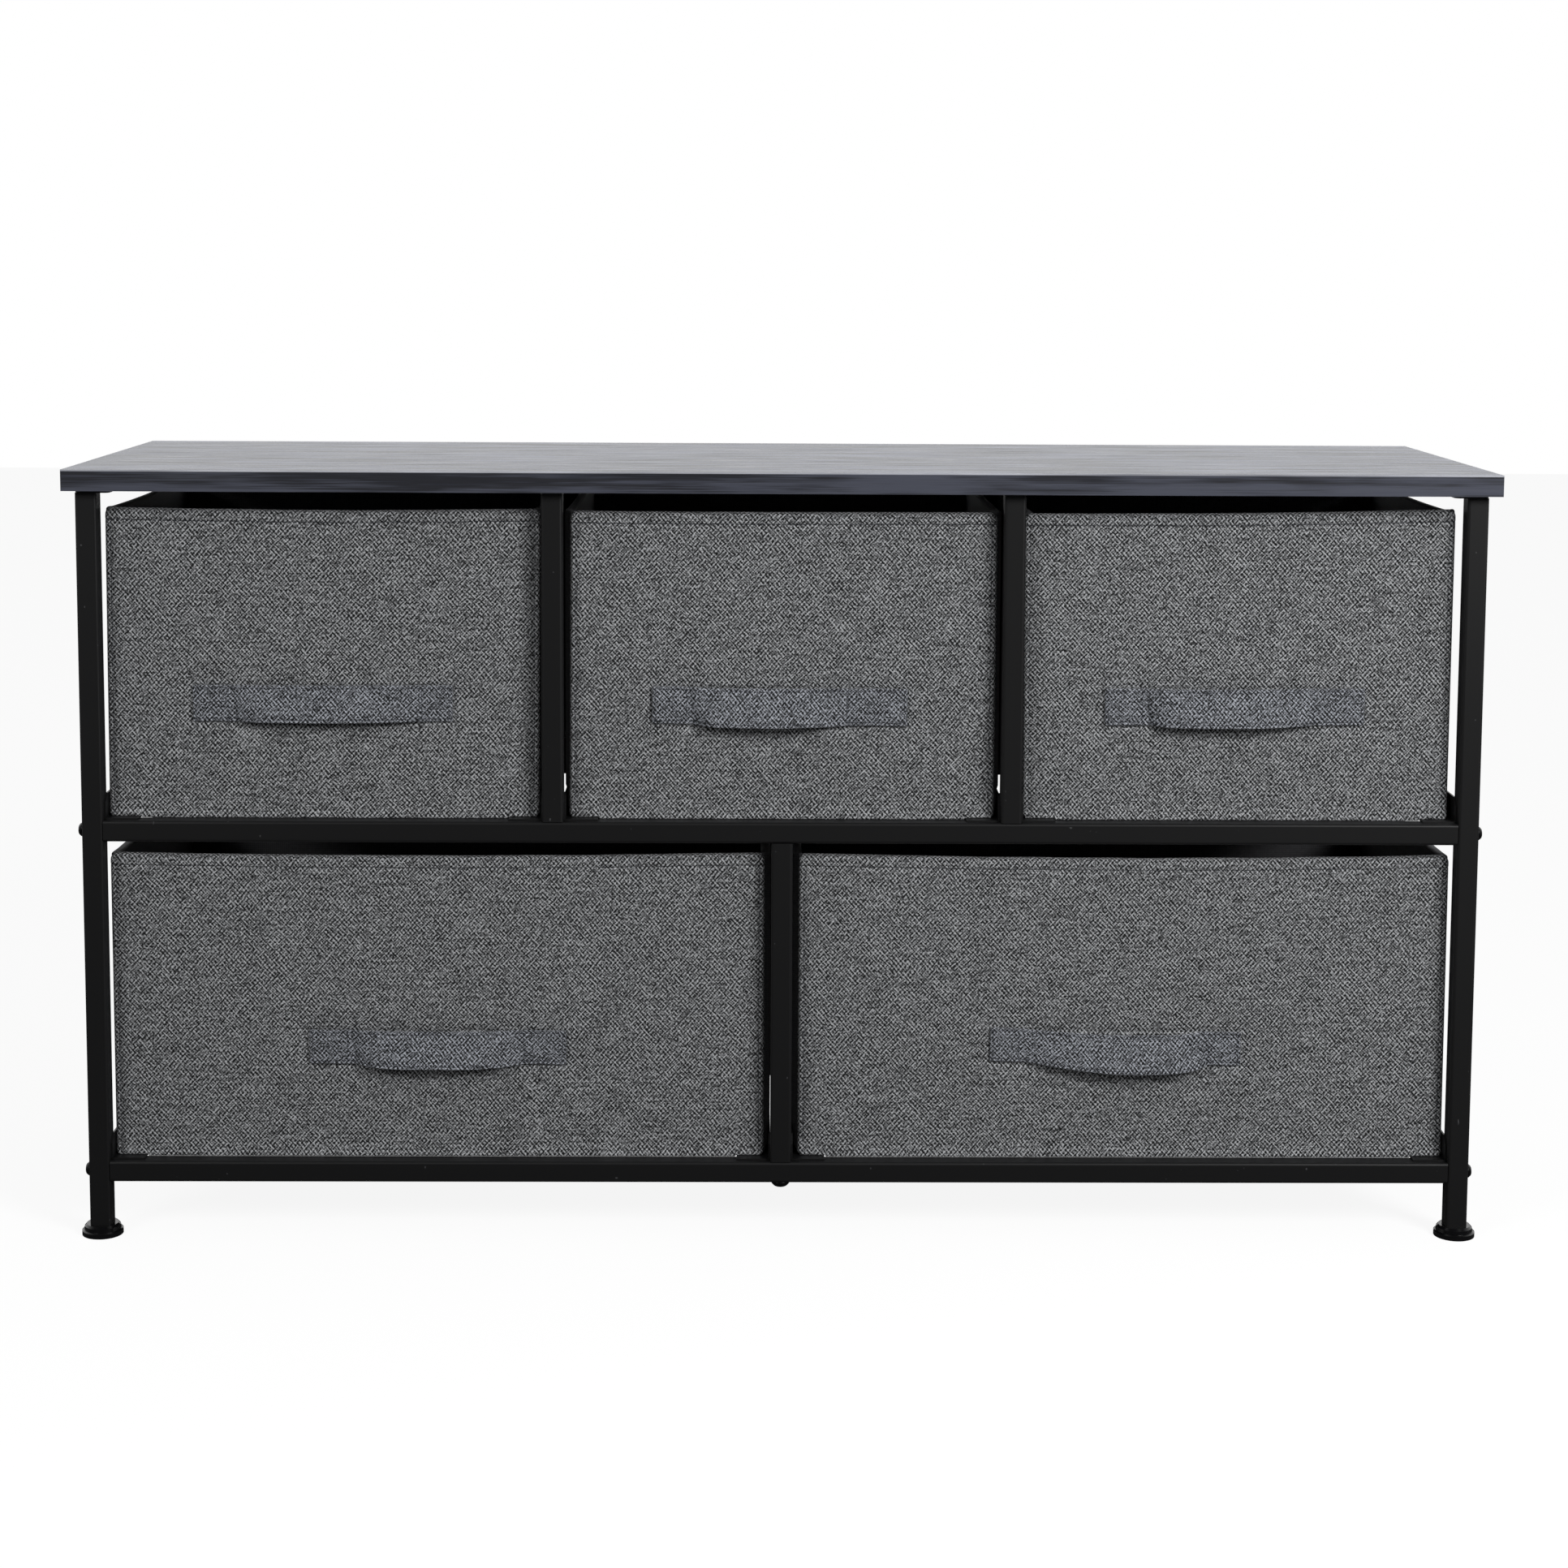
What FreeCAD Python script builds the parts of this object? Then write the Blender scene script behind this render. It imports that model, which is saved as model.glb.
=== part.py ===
import FreeCAD
import Part
import math
import os

# Fabric drawer dresser: a board on a bolted frame of square steel tube, three cloth drawers
# over two wide ones. Millimetres. X runs left to right, Y from the front (-) to the back (+),
# Z up. The origin is on the floor under the middle of the board.

# ---- Driving dimensions: board and frame ----
top_length = 1000.0
top_depth = 300.0
top_thickness = 15.0
overall_height = 550.0
edge_band_thickness = 0.8
side_overhang = 7.0
front_overhang = 10.0
tube_size = 15.0
tube_wall = 1.2
tube_corner_radius = 2.0
bottom_bar_height = 40.0
mounting_bar_thickness = 2.0
mounting_bar_lip = 9.0
mounting_bar_corner_radius = 4.0

# ---- Driving dimensions: feet ----
foot_diameter = 29.0
foot_rim_height = 4.0
foot_rim_chamfer = 0.8
foot_shoulder_diameter = 26.2
foot_waist_diameter = 25.2
foot_waist_height = 6.4
foot_crown_diameter = 22.4
foot_seat_height = 8.0
foot_plug_length = 14.0
foot_plug_clearance = 0.1

# ---- Driving dimensions: fasteners ----
bolt_diameter = 6.0
bolt_length = 25.0
leg_bolt_head_diameter = 10.5
leg_bolt_head_height = 3.3
leg_bolt_crown_diameter = 6.4
post_bolt_head_diameter = 14.0
post_bolt_head_height = 4.2
post_bolt_crown_diameter = 8.4
bolt_hole_clearance = 0.3
insert_length = 12.0
insert_clearance = 0.1
thread_clearance = 0.05
peg_size = 6.0
peg_length = 4.0
peg_plug_length = 10.0
screw_diameter = 4.0
screw_length = 13.0
screw_head_across_flats = 8.0
screw_head_flat_count = 6
screw_head_height = 2.4
screw_spacing = 190.0
hidden_flat_count = 8

# ---- Driving dimensions: drawer runners ----
runner_width = 24.0
runner_height = 18.0
runner_thickness = 1.2
runner_setback = 5.0
runner_corner_cut = 6.0
runner_tab_width = 10.0
runner_tab_length = 5.0
runner_tab_clearance = 0.2
insert_to_tab_gap = 1.0

# ---- Driving dimensions: cloth drawers ----
drawer_side_clearance = 2.4
drawer_lift = 0.3
drawer_setback = 15.0
drawer_rear_inset = 2.0
drawer_headroom = 12.0
side_pocket_margin = 5.0
drawer_skin = 1.0
drawer_back_thickness = 1.6
drawer_bottom_thickness = 1.4
front_board_thickness = 3.0
side_board_thickness = 2.0
board_clearance = 0.2
board_hem_depth = 5.0
base_board_thickness = 3.0
base_board_clearance = 1.0
handle_length = 185.0
handle_width = 27.0
handle_thickness = 2.0
handle_tab = 24.0
handle_rise_run = 26.0
handle_bow = 13.0
handle_height = 77.0

# ---- Sizes that follow from them ----
V = FreeCAD.Vector
X_AXIS = V(1, 0, 0)
Y_AXIS = V(0, 1, 0)
Z_AXIS = V(0, 0, 1)

leg_outer = top_length / 2 - side_overhang
leg_inner = leg_outer - tube_size
leg_x = leg_outer - tube_size / 2
frame_front = top_depth / 2 - front_overhang
leg_y = frame_front - tube_size / 2
board_underside = overall_height - top_thickness
leg_top = board_underside - mounting_bar_thickness
tier_height = (leg_top - bottom_bar_height - 2 * tube_size) / 2
middle_bar_height = bottom_bar_height + tube_size + tier_height
tube_bore = tube_size - 2 * tube_wall
bolt_hole = bolt_diameter + 2 * bolt_hole_clearance
screw_hole = screw_diameter + 2 * thread_clearance
side_bar_width = tube_size + mounting_bar_lip
side_bar_x = leg_outer - side_bar_width / 2
runner_end = frame_front - runner_setback
tab_offset = insert_length + insert_to_tab_gap + runner_tab_width / 2
drawer_front = -(frame_front - drawer_setback)
drawer_back = frame_front - drawer_rear_inset
drawer_height = tier_height - runner_thickness - drawer_lift - drawer_headroom
front_wall = 2 * drawer_skin + front_board_thickness + 2 * board_clearance
side_wall = 2 * drawer_skin + side_board_thickness + 2 * board_clearance

tiers = {
    "upper": (middle_bar_height, ("left", "middle", "right")),
    "lower": (bottom_bar_height, ("left", "right")),
}
ends = {"front": -leg_y, "rear": leg_y}
sides = {"left": -1, "right": 1}


# ---- Shared shapes ----
def rounded_face(width, depth, radius):
    """A flat rectangle about the origin, its four corners rounded."""
    x, y = width / 2 - radius, depth / 2 - radius
    core = Part.makePolygon([V(-x, -y), V(x, -y), V(x, y), V(-x, y), V(-x, -y)])
    return Part.Face(core.makeOffset2D(radius))


def block(x_low, x_high, y_low, y_high, z_low, z_high):
    """A plain box between two corners."""
    return Part.makeBox(x_high - x_low, y_high - y_low, z_high - z_low, V(x_low, y_low, z_low))


def tube_plug(length, clearance):
    """A block that fills the bore of the tube, standing on the origin."""
    half = tube_bore / 2 - clearance
    return block(-half, half, -half, half, 0, length)


def square_tube(length):
    """A length of square tube standing on the origin, open at both ends."""
    outside = rounded_face(tube_size, tube_size, tube_corner_radius).extrude(V(0, 0, length))
    return outside.cut(tube_plug(length, 0))


def turned(outline):
    """A solid of revolution about Z from (radius, height) pairs, first and last on the axis."""
    points = [V(radius, 0, height) for radius, height in outline]
    return Part.Face(Part.makePolygon(points + points[:1])).revolve(V(), Z_AXIS, 360)


def prism(width, length, count):
    """An upright rod with that many flats, that wide across them, standing on the origin."""
    corner = width / (2 * math.cos(math.pi / count))
    turns = [2 * math.pi * index / count for index in range(count + 1)]
    corners = [V(corner * math.cos(turn), corner * math.sin(turn), 0) for turn in turns]
    return Part.Face(Part.makePolygon(corners)).extrude(V(0, 0, length))


def drill(shape, start, direction, width, depth):
    """The shape with a hole in it. The frame hides every hole, so they share the stems' flats."""
    hole = prism(width, depth, hidden_flat_count)
    hole.Placement = FreeCAD.Placement(start, FreeCAD.Rotation(Z_AXIS, direction))
    return shape.cut(hole)


def bay_faces(count):
    """Left and right faces of each bay when posts split the frame into equal bays."""
    width = (2 * leg_inner - (count - 1) * tube_size) / count
    lefts = [-leg_inner + index * (width + tube_size) for index in range(count)]
    return [(left, left + width) for left in lefts]


def post_centres(count):
    """Middle of each post between that many equal bays."""
    return [right + tube_size / 2 for _, right in bay_faces(count)[:-1]]


upper_posts = post_centres(len(tiers["upper"][1]))
lower_posts = post_centres(len(tiers["lower"][1]))


# ---- Board and its edge banding ----
def screw_places():
    """Middle of each screw that holds the board, on the four mounting bars."""
    bars = [-side_bar_x, *upper_posts, side_bar_x]
    return [(x, y) for x in bars for y in (-screw_spacing / 2, screw_spacing / 2)]


def top_panel():
    """The board's core, with a blind pilot hole over each screw."""
    x = top_length / 2 - edge_band_thickness
    y = top_depth / 2 - edge_band_thickness
    panel = block(-x, x, -y, y, board_underside, overall_height)
    depth = screw_length - mounting_bar_thickness + thread_clearance
    for screw_x, screw_y in screw_places():
        panel = drill(panel, V(screw_x, screw_y, board_underside), Z_AXIS, screw_hole, depth)
    return panel


def edge_banding():
    """Four glued strips: long ones at front and rear, short ones between them."""
    x, y = top_length / 2, top_depth / 2
    x_core, y_core = x - edge_band_thickness, y - edge_band_thickness
    spans = [
        (-x, x, -y, -y_core),
        (-x, x, y_core, y),
        (-x, -x_core, -y_core, y_core),
        (x_core, x, -y_core, y_core),
    ]
    return Part.makeCompound([block(*span, board_underside, overall_height) for span in spans])


# ---- Tube frame ----
def leg(x, y):
    """A leg from its foot to the mounting bar, cross-drilled for the two crossbar bolts."""
    tube = square_tube(leg_top - foot_seat_height)
    tube.translate(V(x, y, foot_seat_height))
    for bar_height in (middle_bar_height, bottom_bar_height):
        start = V(x - tube_size / 2, y, bar_height + tube_size / 2)
        tube = drill(tube, start, X_AXIS, bolt_hole, tube_size)
    return tube


def crossbar(y, bar_height):
    """A level tube between two legs."""
    tube = square_tube(2 * leg_inner)
    tube.rotate(V(), Y_AXIS, 90)
    tube.translate(V(-leg_inner, y, bar_height + tube_size / 2))
    return tube


def tab_box(x, y, top, low, clearance):
    """The tab of a runner's end, from a depth below the flange's underside up to it."""
    half = runner_tab_width / 2 + clearance
    outer = math.copysign(runner_end + clearance, y)
    inner = math.copysign(runner_end - runner_thickness - clearance, y)
    return block(x - half, x + half, min(outer, inner), max(outer, inner), top - low, top)


def slotted(bar, tier, y):
    """The crossbar with a slot in its top wall for each runner's tab."""
    bar_height, bays = tiers[tier]
    for left, right in bay_faces(len(bays)):
        for x in (left + tab_offset, right - tab_offset):
            bar = bar.cut(tab_box(x, y, bar_height + tube_size, tube_wall, runner_tab_clearance))
    return bar


def middle_crossbar(y):
    """Carries the upper runners, stands under the upper posts and caps the lower one."""
    bar = slotted(crossbar(y, middle_bar_height), "upper", y)
    half = peg_size / 2 + thread_clearance
    top = middle_bar_height + tube_size
    seats = [(x, top - tube_wall) for x in upper_posts] + [(x, middle_bar_height) for x in lower_posts]
    for x, z in seats:
        bar = bar.cut(block(x - half, x + half, y - half, y + half, z, z + tube_wall))
    return bar


def bottom_crossbar(y):
    """Carries the lower runners, and a bolt goes up through it into the lower post."""
    bar = slotted(crossbar(y, bottom_bar_height), "lower", y)
    for x in lower_posts:
        bar = drill(bar, V(x, y, bottom_bar_height), Z_AXIS, bolt_hole, tube_size)
    return bar


def post(x, y, z_low, z_high):
    """An upright tube between two drawers."""
    tube = square_tube(z_high - z_low)
    tube.translate(V(x, y, z_low))
    return tube


def mounting_bar(x, width):
    """A flat bar across the tops of a front and a rear upright, drilled for two board screws."""
    plate = rounded_face(width, 2 * frame_front, mounting_bar_corner_radius)
    bar = plate.extrude(V(0, 0, mounting_bar_thickness))
    bar.translate(V(x, 0, leg_top))
    for y in (-screw_spacing / 2, screw_spacing / 2):
        bar = drill(bar, V(x, y, leg_top), Z_AXIS, screw_hole, mounting_bar_thickness)
    return bar


def foot():
    """A moulded glide over the origin: a round base stepped up to a crown, and a plug on top."""
    rim = foot_diameter / 2
    base = turned([
        (0, 0),
        (rim, 0),
        (rim, foot_rim_height - foot_rim_chamfer),
        (rim - foot_rim_chamfer, foot_rim_height),
        (foot_shoulder_diameter / 2, foot_rim_height),
        (foot_waist_diameter / 2, foot_waist_height),
        (foot_crown_diameter / 2, foot_seat_height),
        (0, foot_seat_height),
    ])
    plug = tube_plug(foot_plug_length, foot_plug_clearance)
    plug.translate(V(0, 0, foot_seat_height))
    return base.fuse(plug).removeSplitter()


def feet():
    """A glide pushed into the bottom of each leg."""
    glides = []
    for side in sides.values():
        for y in ends.values():
            glide = foot()
            glide.translate(V(side * leg_x, y, 0))
            glides.append(glide)
    return Part.makeCompound(glides)


# ---- Fasteners ----
def button_bolt(head_diameter, head_height, crown_diameter):
    """A button-head bolt pointing up, its tapered head under the origin."""
    head = turned([
        (0, -head_height),
        (crown_diameter / 2, -head_height),
        (head_diameter / 2, 0),
        (0, 0),
    ])
    return head.fuse(prism(bolt_diameter, bolt_length, hidden_flat_count))


def threaded_insert():
    """The nut block in the end of a tube, standing on the origin, bored right through."""
    bore = bolt_diameter + 2 * thread_clearance
    return drill(tube_plug(insert_length, insert_clearance), V(), Z_AXIS, bore, insert_length)


def crossbar_ends():
    """Leg number, bar height and row of each of the eight bolted crossbar ends."""
    bars = (middle_bar_height, bottom_bar_height)
    return [(side, y, bar) for side in sides.values() for y in ends.values() for bar in bars]


def frame_bolts():
    """Eight bolts through the legs into the crossbars, and a wider one up into each lower post."""
    bolts = []
    for side, y, bar in crossbar_ends():
        bolt = button_bolt(leg_bolt_head_diameter, leg_bolt_head_height, leg_bolt_crown_diameter)
        bolt.rotate(V(), Y_AXIS, -90 * side)
        bolt.translate(V(side * leg_outer, y, bar + tube_size / 2))
        bolts.append(bolt)
    for x in lower_posts:
        for y in ends.values():
            bolt = button_bolt(post_bolt_head_diameter, post_bolt_head_height, post_bolt_crown_diameter)
            bolt.translate(V(x, y, bottom_bar_height))
            bolts.append(bolt)
    return Part.makeCompound(bolts)


def threaded_inserts():
    """The blocks that those bolts screw into."""
    inserts = []
    for side, y, bar in crossbar_ends():
        insert = threaded_insert()
        insert.rotate(V(), Y_AXIS, -90 * side)
        insert.translate(V(side * leg_inner, y, bar + tube_size / 2))
        inserts.append(insert)
    for x in lower_posts:
        for y in ends.values():
            insert = threaded_insert()
            insert.translate(V(x, y, bottom_bar_height + tube_size))
            inserts.append(insert)
    return Part.makeCompound(inserts)


def post_peg():
    """A plug in a post's end. Its square peg drops through a crossbar's wall at the origin."""
    half = peg_size / 2
    plug = tube_plug(peg_plug_length, insert_clearance)
    return plug.fuse(block(-half, half, -half, half, -peg_length, 0))


def post_pegs():
    """Pegs under the upper posts, and on top of the lower ones."""
    pegs = []
    for y in ends.values():
        for x in upper_posts:
            peg = post_peg()
            peg.translate(V(x, y, middle_bar_height + tube_size))
            pegs.append(peg)
        for x in lower_posts:
            peg = post_peg()
            peg.rotate(V(), X_AXIS, 180)
            peg.translate(V(x, y, middle_bar_height))
            pegs.append(peg)
    return Part.makeCompound(pegs)


def board_screws():
    """Hexagon-head screws up through the mounting bars into the board."""
    screws = []
    for x, y in screw_places():
        head = prism(screw_head_across_flats, screw_head_height, screw_head_flat_count)
        head.translate(V(0, 0, -screw_head_height))
        screw = head.fuse(prism(screw_diameter, screw_length, hidden_flat_count))
        screw.translate(V(x, y, leg_top))
        screws.append(screw)
    return Part.makeCompound(screws)


# ---- Drawer runners ----
def runner(face_x, inward, bar_height):
    """A folded steel angle across both crossbars, with a tab at each end in the bar's slot."""
    bend = runner_thickness
    inner_bend = bend * (1 - math.cos(math.pi / 4))
    path = Part.makePolygon([
        V(inward * bend, 0, 0),
        V(inward * runner_width, 0, 0),
        V(inward * runner_width, 0, runner_thickness),
        V(inward * runner_thickness, 0, runner_thickness),
        V(inward * runner_thickness, 0, runner_height),
        V(0, 0, runner_height),
        V(0, 0, bend),
    ])
    fold = Part.Arc(V(0, 0, bend), V(inward * inner_bend, 0, inner_bend), V(inward * bend, 0, 0))
    length = 2 * runner_end
    angle = Part.Face(Part.Wire(path.Edges + [fold.toShape()])).extrude(V(0, length, 0))
    for y, back in ((0, 1), (length, -1)):
        corner = Part.makePolygon([
            V(-runner_width, y, runner_height),
            V(-runner_width, y + back * runner_corner_cut, runner_height),
            V(-runner_width, y, runner_height - runner_corner_cut),
            V(-runner_width, y, runner_height),
        ])
        angle = angle.cut(Part.Face(corner).extrude(V(2 * runner_width, 0, 0)))
    seat = bar_height + tube_size
    angle.translate(V(face_x, -length / 2, seat))
    for y in ends.values():
        tab = tab_box(face_x + inward * tab_offset, y, seat, runner_tab_length, 0)
        angle = angle.fuse(tab)
    return angle.removeSplitter()


# ---- Cloth drawers ----
def drawer_shell(x_low, x_high, z_low):
    """Sewn cloth box, open on top, with a pocket for a stiff board in its front and sides."""
    z_high = z_low + drawer_height
    floor = z_low + drawer_bottom_thickness
    body = block(x_low, x_high, drawer_front, drawer_back, z_low, z_high)
    inside = block(x_low + side_wall, x_high - side_wall, drawer_front + front_wall,
                   drawer_back - drawer_back_thickness, floor, z_high)
    front, left, right = pocket_spans(x_low, x_high)
    for hollow in (inside, *[block(*span, floor, z_high) for span in (front, left, right)]):
        body = body.cut(hollow)
    return body


def pocket_spans(x_low, x_high):
    """Plan outline of the front pocket and the two side pockets."""
    front_low = drawer_front + drawer_skin
    front_high = drawer_front + front_wall - drawer_skin
    side_low = drawer_front + front_wall + drawer_skin
    side_high = drawer_back - side_pocket_margin
    front = (x_low + drawer_skin, x_high - drawer_skin, front_low, front_high)
    left = (x_low + drawer_skin, x_low + side_wall - drawer_skin, side_low, side_high)
    right = (x_high - side_wall + drawer_skin, x_high - drawer_skin, side_low, side_high)
    return front, left, right


def drawer_stiffeners(x_low, x_high, z_low):
    """Boards in the front and side pockets. The hem closes over them."""
    boards = []
    for span_x_low, span_x_high, span_y_low, span_y_high in pocket_spans(x_low, x_high):
        boards.append(block(span_x_low + board_clearance, span_x_high - board_clearance,
                            span_y_low + board_clearance, span_y_high - board_clearance,
                            z_low + drawer_bottom_thickness,
                            z_low + drawer_height - board_hem_depth))
    return Part.makeCompound(boards)


def drawer_base(x_low, x_high, z_low):
    """Loose board that lies on the cloth bottom."""
    inset = side_wall + base_board_clearance
    floor = z_low + drawer_bottom_thickness
    return block(x_low + inset, x_high - inset,
                 drawer_front + front_wall + base_board_clearance,
                 drawer_back - drawer_back_thickness - base_board_clearance,
                 floor, floor + base_board_thickness)


def handle_side(depth):
    """One face of the strap in plan: tab, rise, level middle, fall, tab, at that depth of cloth."""
    run, bow = handle_rise_run, handle_bow - handle_thickness
    bend = (run * run + bow * bow) / (4 * bow)
    turn = math.asin(run / (2 * bend)) / 2
    outer, inner = bend + depth, bend - depth
    foot_x = handle_length / 2 - handle_tab
    edges = []
    last = V(-handle_length / 2, -depth, 0)
    for side in (-1, 1):
        foot_centre = V(side * foot_x, -bend, 0)
        crest_centre = V(side * (foot_x - run), bend - bow, 0)
        at_foot = [foot_centre + V(-side * inner * math.sin(a), inner * math.cos(a), 0)
                   for a in (0, turn, 2 * turn)]
        at_crest = [crest_centre + V(side * outer * math.sin(a), -outer * math.cos(a), 0)
                    for a in (2 * turn, turn, 0)]
        stops = [at_foot, at_crest] if side < 0 else [at_crest[::-1], at_foot[::-1]]
        for start, middle, end in stops:
            if (start - last).Length > handle_thickness / 100:
                edges.append(Part.LineSegment(last, start).toShape())
            edges.append(Part.Arc(start, middle, end).toShape())
            last = end
    edges.append(Part.LineSegment(last, V(handle_length / 2, -depth, 0)).toShape())
    return edges


def drawer_handle(x_low, x_high, z_low):
    """Strap of the drawer's cloth, sewn down at both ends and bowed out between them."""
    back, face = handle_side(0), handle_side(handle_thickness)
    caps = []
    for x in (-handle_length / 2, handle_length / 2):
        caps.append(Part.LineSegment(V(x, 0, 0), V(x, -handle_thickness, 0)).toShape())
    outline = Part.Wire(Part.__sortEdges__(back + face + caps))
    strap = Part.Face(outline).extrude(V(0, 0, handle_width))
    z = z_low + handle_height - handle_width / 2
    strap.translate(V((x_low + x_high) / 2, drawer_front, z))
    return strap


# ---- Every piece by name ----
parts = {"top_panel": top_panel(), "edge_banding": edge_banding()}

for end, y in ends.items():
    parts[f"crossbar_{end}_middle"] = middle_crossbar(y)
    parts[f"crossbar_{end}_bottom"] = bottom_crossbar(y)
    for x in lower_posts:
        parts[f"lower_post_{end}"] = post(x, y, bottom_bar_height + tube_size, middle_bar_height)
    for side, sign in sides.items():
        parts[f"leg_{end}_{side}"] = leg(sign * leg_x, y)
    for side, x in zip(sides, upper_posts):
        parts[f"upper_post_{end}_{side}"] = post(x, y, middle_bar_height + tube_size, leg_top)

for side, sign in sides.items():
    parts[f"mounting_bar_{side}_legs"] = mounting_bar(sign * side_bar_x, side_bar_width)
for side, x in zip(sides, upper_posts):
    parts[f"mounting_bar_{side}_posts"] = mounting_bar(x, tube_size)

parts["feet"] = feet()
parts["frame_bolts"] = frame_bolts()
parts["threaded_inserts"] = threaded_inserts()
parts["post_pegs"] = post_pegs()
parts["board_screws"] = board_screws()

for tier, (bar_height, bays) in tiers.items():
    for bay, (left, right) in zip(bays, bay_faces(len(bays))):
        parts[f"{tier}_{bay}_bay_runner_left"] = runner(left, 1, bar_height)
        parts[f"{tier}_{bay}_bay_runner_right"] = runner(right, -1, bar_height)
        margin = runner_thickness + drawer_side_clearance
        span = (left + margin, right - margin, bar_height + tube_size + runner_thickness + drawer_lift)
        parts[f"{tier}_{bay}_drawer_cloth"] = drawer_shell(*span)
        parts[f"{tier}_{bay}_drawer_stiffeners"] = drawer_stiffeners(*span)
        parts[f"{tier}_{bay}_drawer_base_board"] = drawer_base(*span)
        parts[f"{tier}_{bay}_drawer_handle"] = drawer_handle(*span)

os.makedirs("parts", exist_ok=True)
for name, shape in parts.items():
    shape.exportStep(f"parts/{name}.step")
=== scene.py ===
import math

import bpy
from mathutils import Matrix, Vector, noise


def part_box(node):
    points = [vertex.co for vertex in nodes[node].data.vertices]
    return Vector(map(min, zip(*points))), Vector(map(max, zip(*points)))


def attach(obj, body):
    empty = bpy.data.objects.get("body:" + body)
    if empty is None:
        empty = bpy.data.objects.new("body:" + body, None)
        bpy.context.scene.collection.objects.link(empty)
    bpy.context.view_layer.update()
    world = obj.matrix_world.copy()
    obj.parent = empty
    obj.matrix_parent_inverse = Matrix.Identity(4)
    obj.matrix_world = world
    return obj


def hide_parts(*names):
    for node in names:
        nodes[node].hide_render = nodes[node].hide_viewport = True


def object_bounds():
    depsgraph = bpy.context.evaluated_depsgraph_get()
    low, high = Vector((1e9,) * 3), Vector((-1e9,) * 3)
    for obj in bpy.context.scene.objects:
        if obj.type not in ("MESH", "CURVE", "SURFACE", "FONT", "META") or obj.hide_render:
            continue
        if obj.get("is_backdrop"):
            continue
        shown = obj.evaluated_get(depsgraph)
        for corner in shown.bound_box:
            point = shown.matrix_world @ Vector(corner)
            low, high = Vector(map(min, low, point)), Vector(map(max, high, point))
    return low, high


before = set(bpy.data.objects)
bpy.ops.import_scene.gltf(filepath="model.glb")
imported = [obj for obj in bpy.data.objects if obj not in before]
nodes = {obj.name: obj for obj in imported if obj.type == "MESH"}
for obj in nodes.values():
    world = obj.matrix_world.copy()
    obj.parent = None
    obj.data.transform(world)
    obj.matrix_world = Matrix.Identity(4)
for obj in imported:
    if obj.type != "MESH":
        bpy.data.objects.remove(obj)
cad_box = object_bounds()

# ---- Board ----
# Fibreboard faced with a printed charcoal wood-grain laminate, satin and finely grooved. A strip of the same
# print is glued round its edge. The board's print is drawn lighter than the strip's, partly its own tone and
# partly painted sheen for the bright room that its top reflects. Screws hold it from below.
MM = 0.001
# The light tone of the board's print is lifted above the strip's: part of that lift is painted sheen.
LAMINATE_DARK = "#20222c"
LAMINATE_LIGHT_AND_SHEEN = "#7f859c"
LAMINATE_ROUGHNESS = 0.34
BANDING_DARK = "#303138"
BANDING_LIGHT = "#595c69"
BANDING_ROUGHNESS = 0.38
# Painted highlight along the edge strip's top arris: its pale colour, its width, and the size of its patches.
ARRIS_HIGHLIGHT = "#dfe1ea"
ARRIS_WIDTH = 0.9 * MM
ARRIS_HIGHLIGHT_PATCH = 180 * MM
PORE_LENGTH = 70 * MM
PORE_WIDTH = 0.9 * MM
FIGURE_LENGTH = 130 * MM
FIGURE_WIDTH = 9 * MM
GRAIN_DEPTH = 0.16 * MM


def linear(colour):
    """The linear RGBA of an sRGB hex colour."""
    shares = [int(colour[place:place + 2], 16) / 255 for place in (1, 3, 5)]
    return (*[s / 12.92 if s <= 0.04045 else ((s + 0.055) / 1.055) ** 2.4 for s in shares], 1)


def add_node(tree, kind, sockets=None, **settings):
    """A new node. Each entry of sockets is a value for that input, or the output to link to it."""
    made = tree.nodes.new(kind)
    for name, value in settings.items():
        setattr(made, name, value)
    for name, value in (sockets or {}).items():
        if isinstance(value, bpy.types.NodeSocket):
            tree.links.new(value, made.inputs[name])
        else:
            made.inputs[name].default_value = value
    return made


def new_finish(name, **values):
    """A material with those values on its shader, with the tree and shader that take a pattern."""
    finish = bpy.data.materials.new(name)
    finish.use_nodes = True
    surface = finish.node_tree.nodes["Principled BSDF"]
    for socket, value in values.items():
        surface.inputs[socket.replace("_", " ")].default_value = value
    return finish, finish.node_tree, surface


def blend(tree, surface, factor, dark, light):
    """Colours the surface between a dark and a light tone."""
    colour = add_node(
        tree, "ShaderNodeMix", {"Factor": factor, "A": linear(dark), "B": linear(light)}, data_type="RGBA",
    )
    tree.links.new(colour.outputs["Result"], surface.inputs["Base Color"])


def emboss(tree, surface, height, depth, strength):
    """Gives the surface a relief of that depth."""
    relief = add_node(tree, "ShaderNodeBump", {"Height": height, "Distance": depth, "Strength": strength})
    tree.links.new(relief.outputs["Normal"], surface.inputs["Normal"])


def dress(finish, *names):
    """Gives carried-over solids their finish."""
    for name in names:
        for place in nodes[name].material_slots:
            place.material = finish


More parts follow.
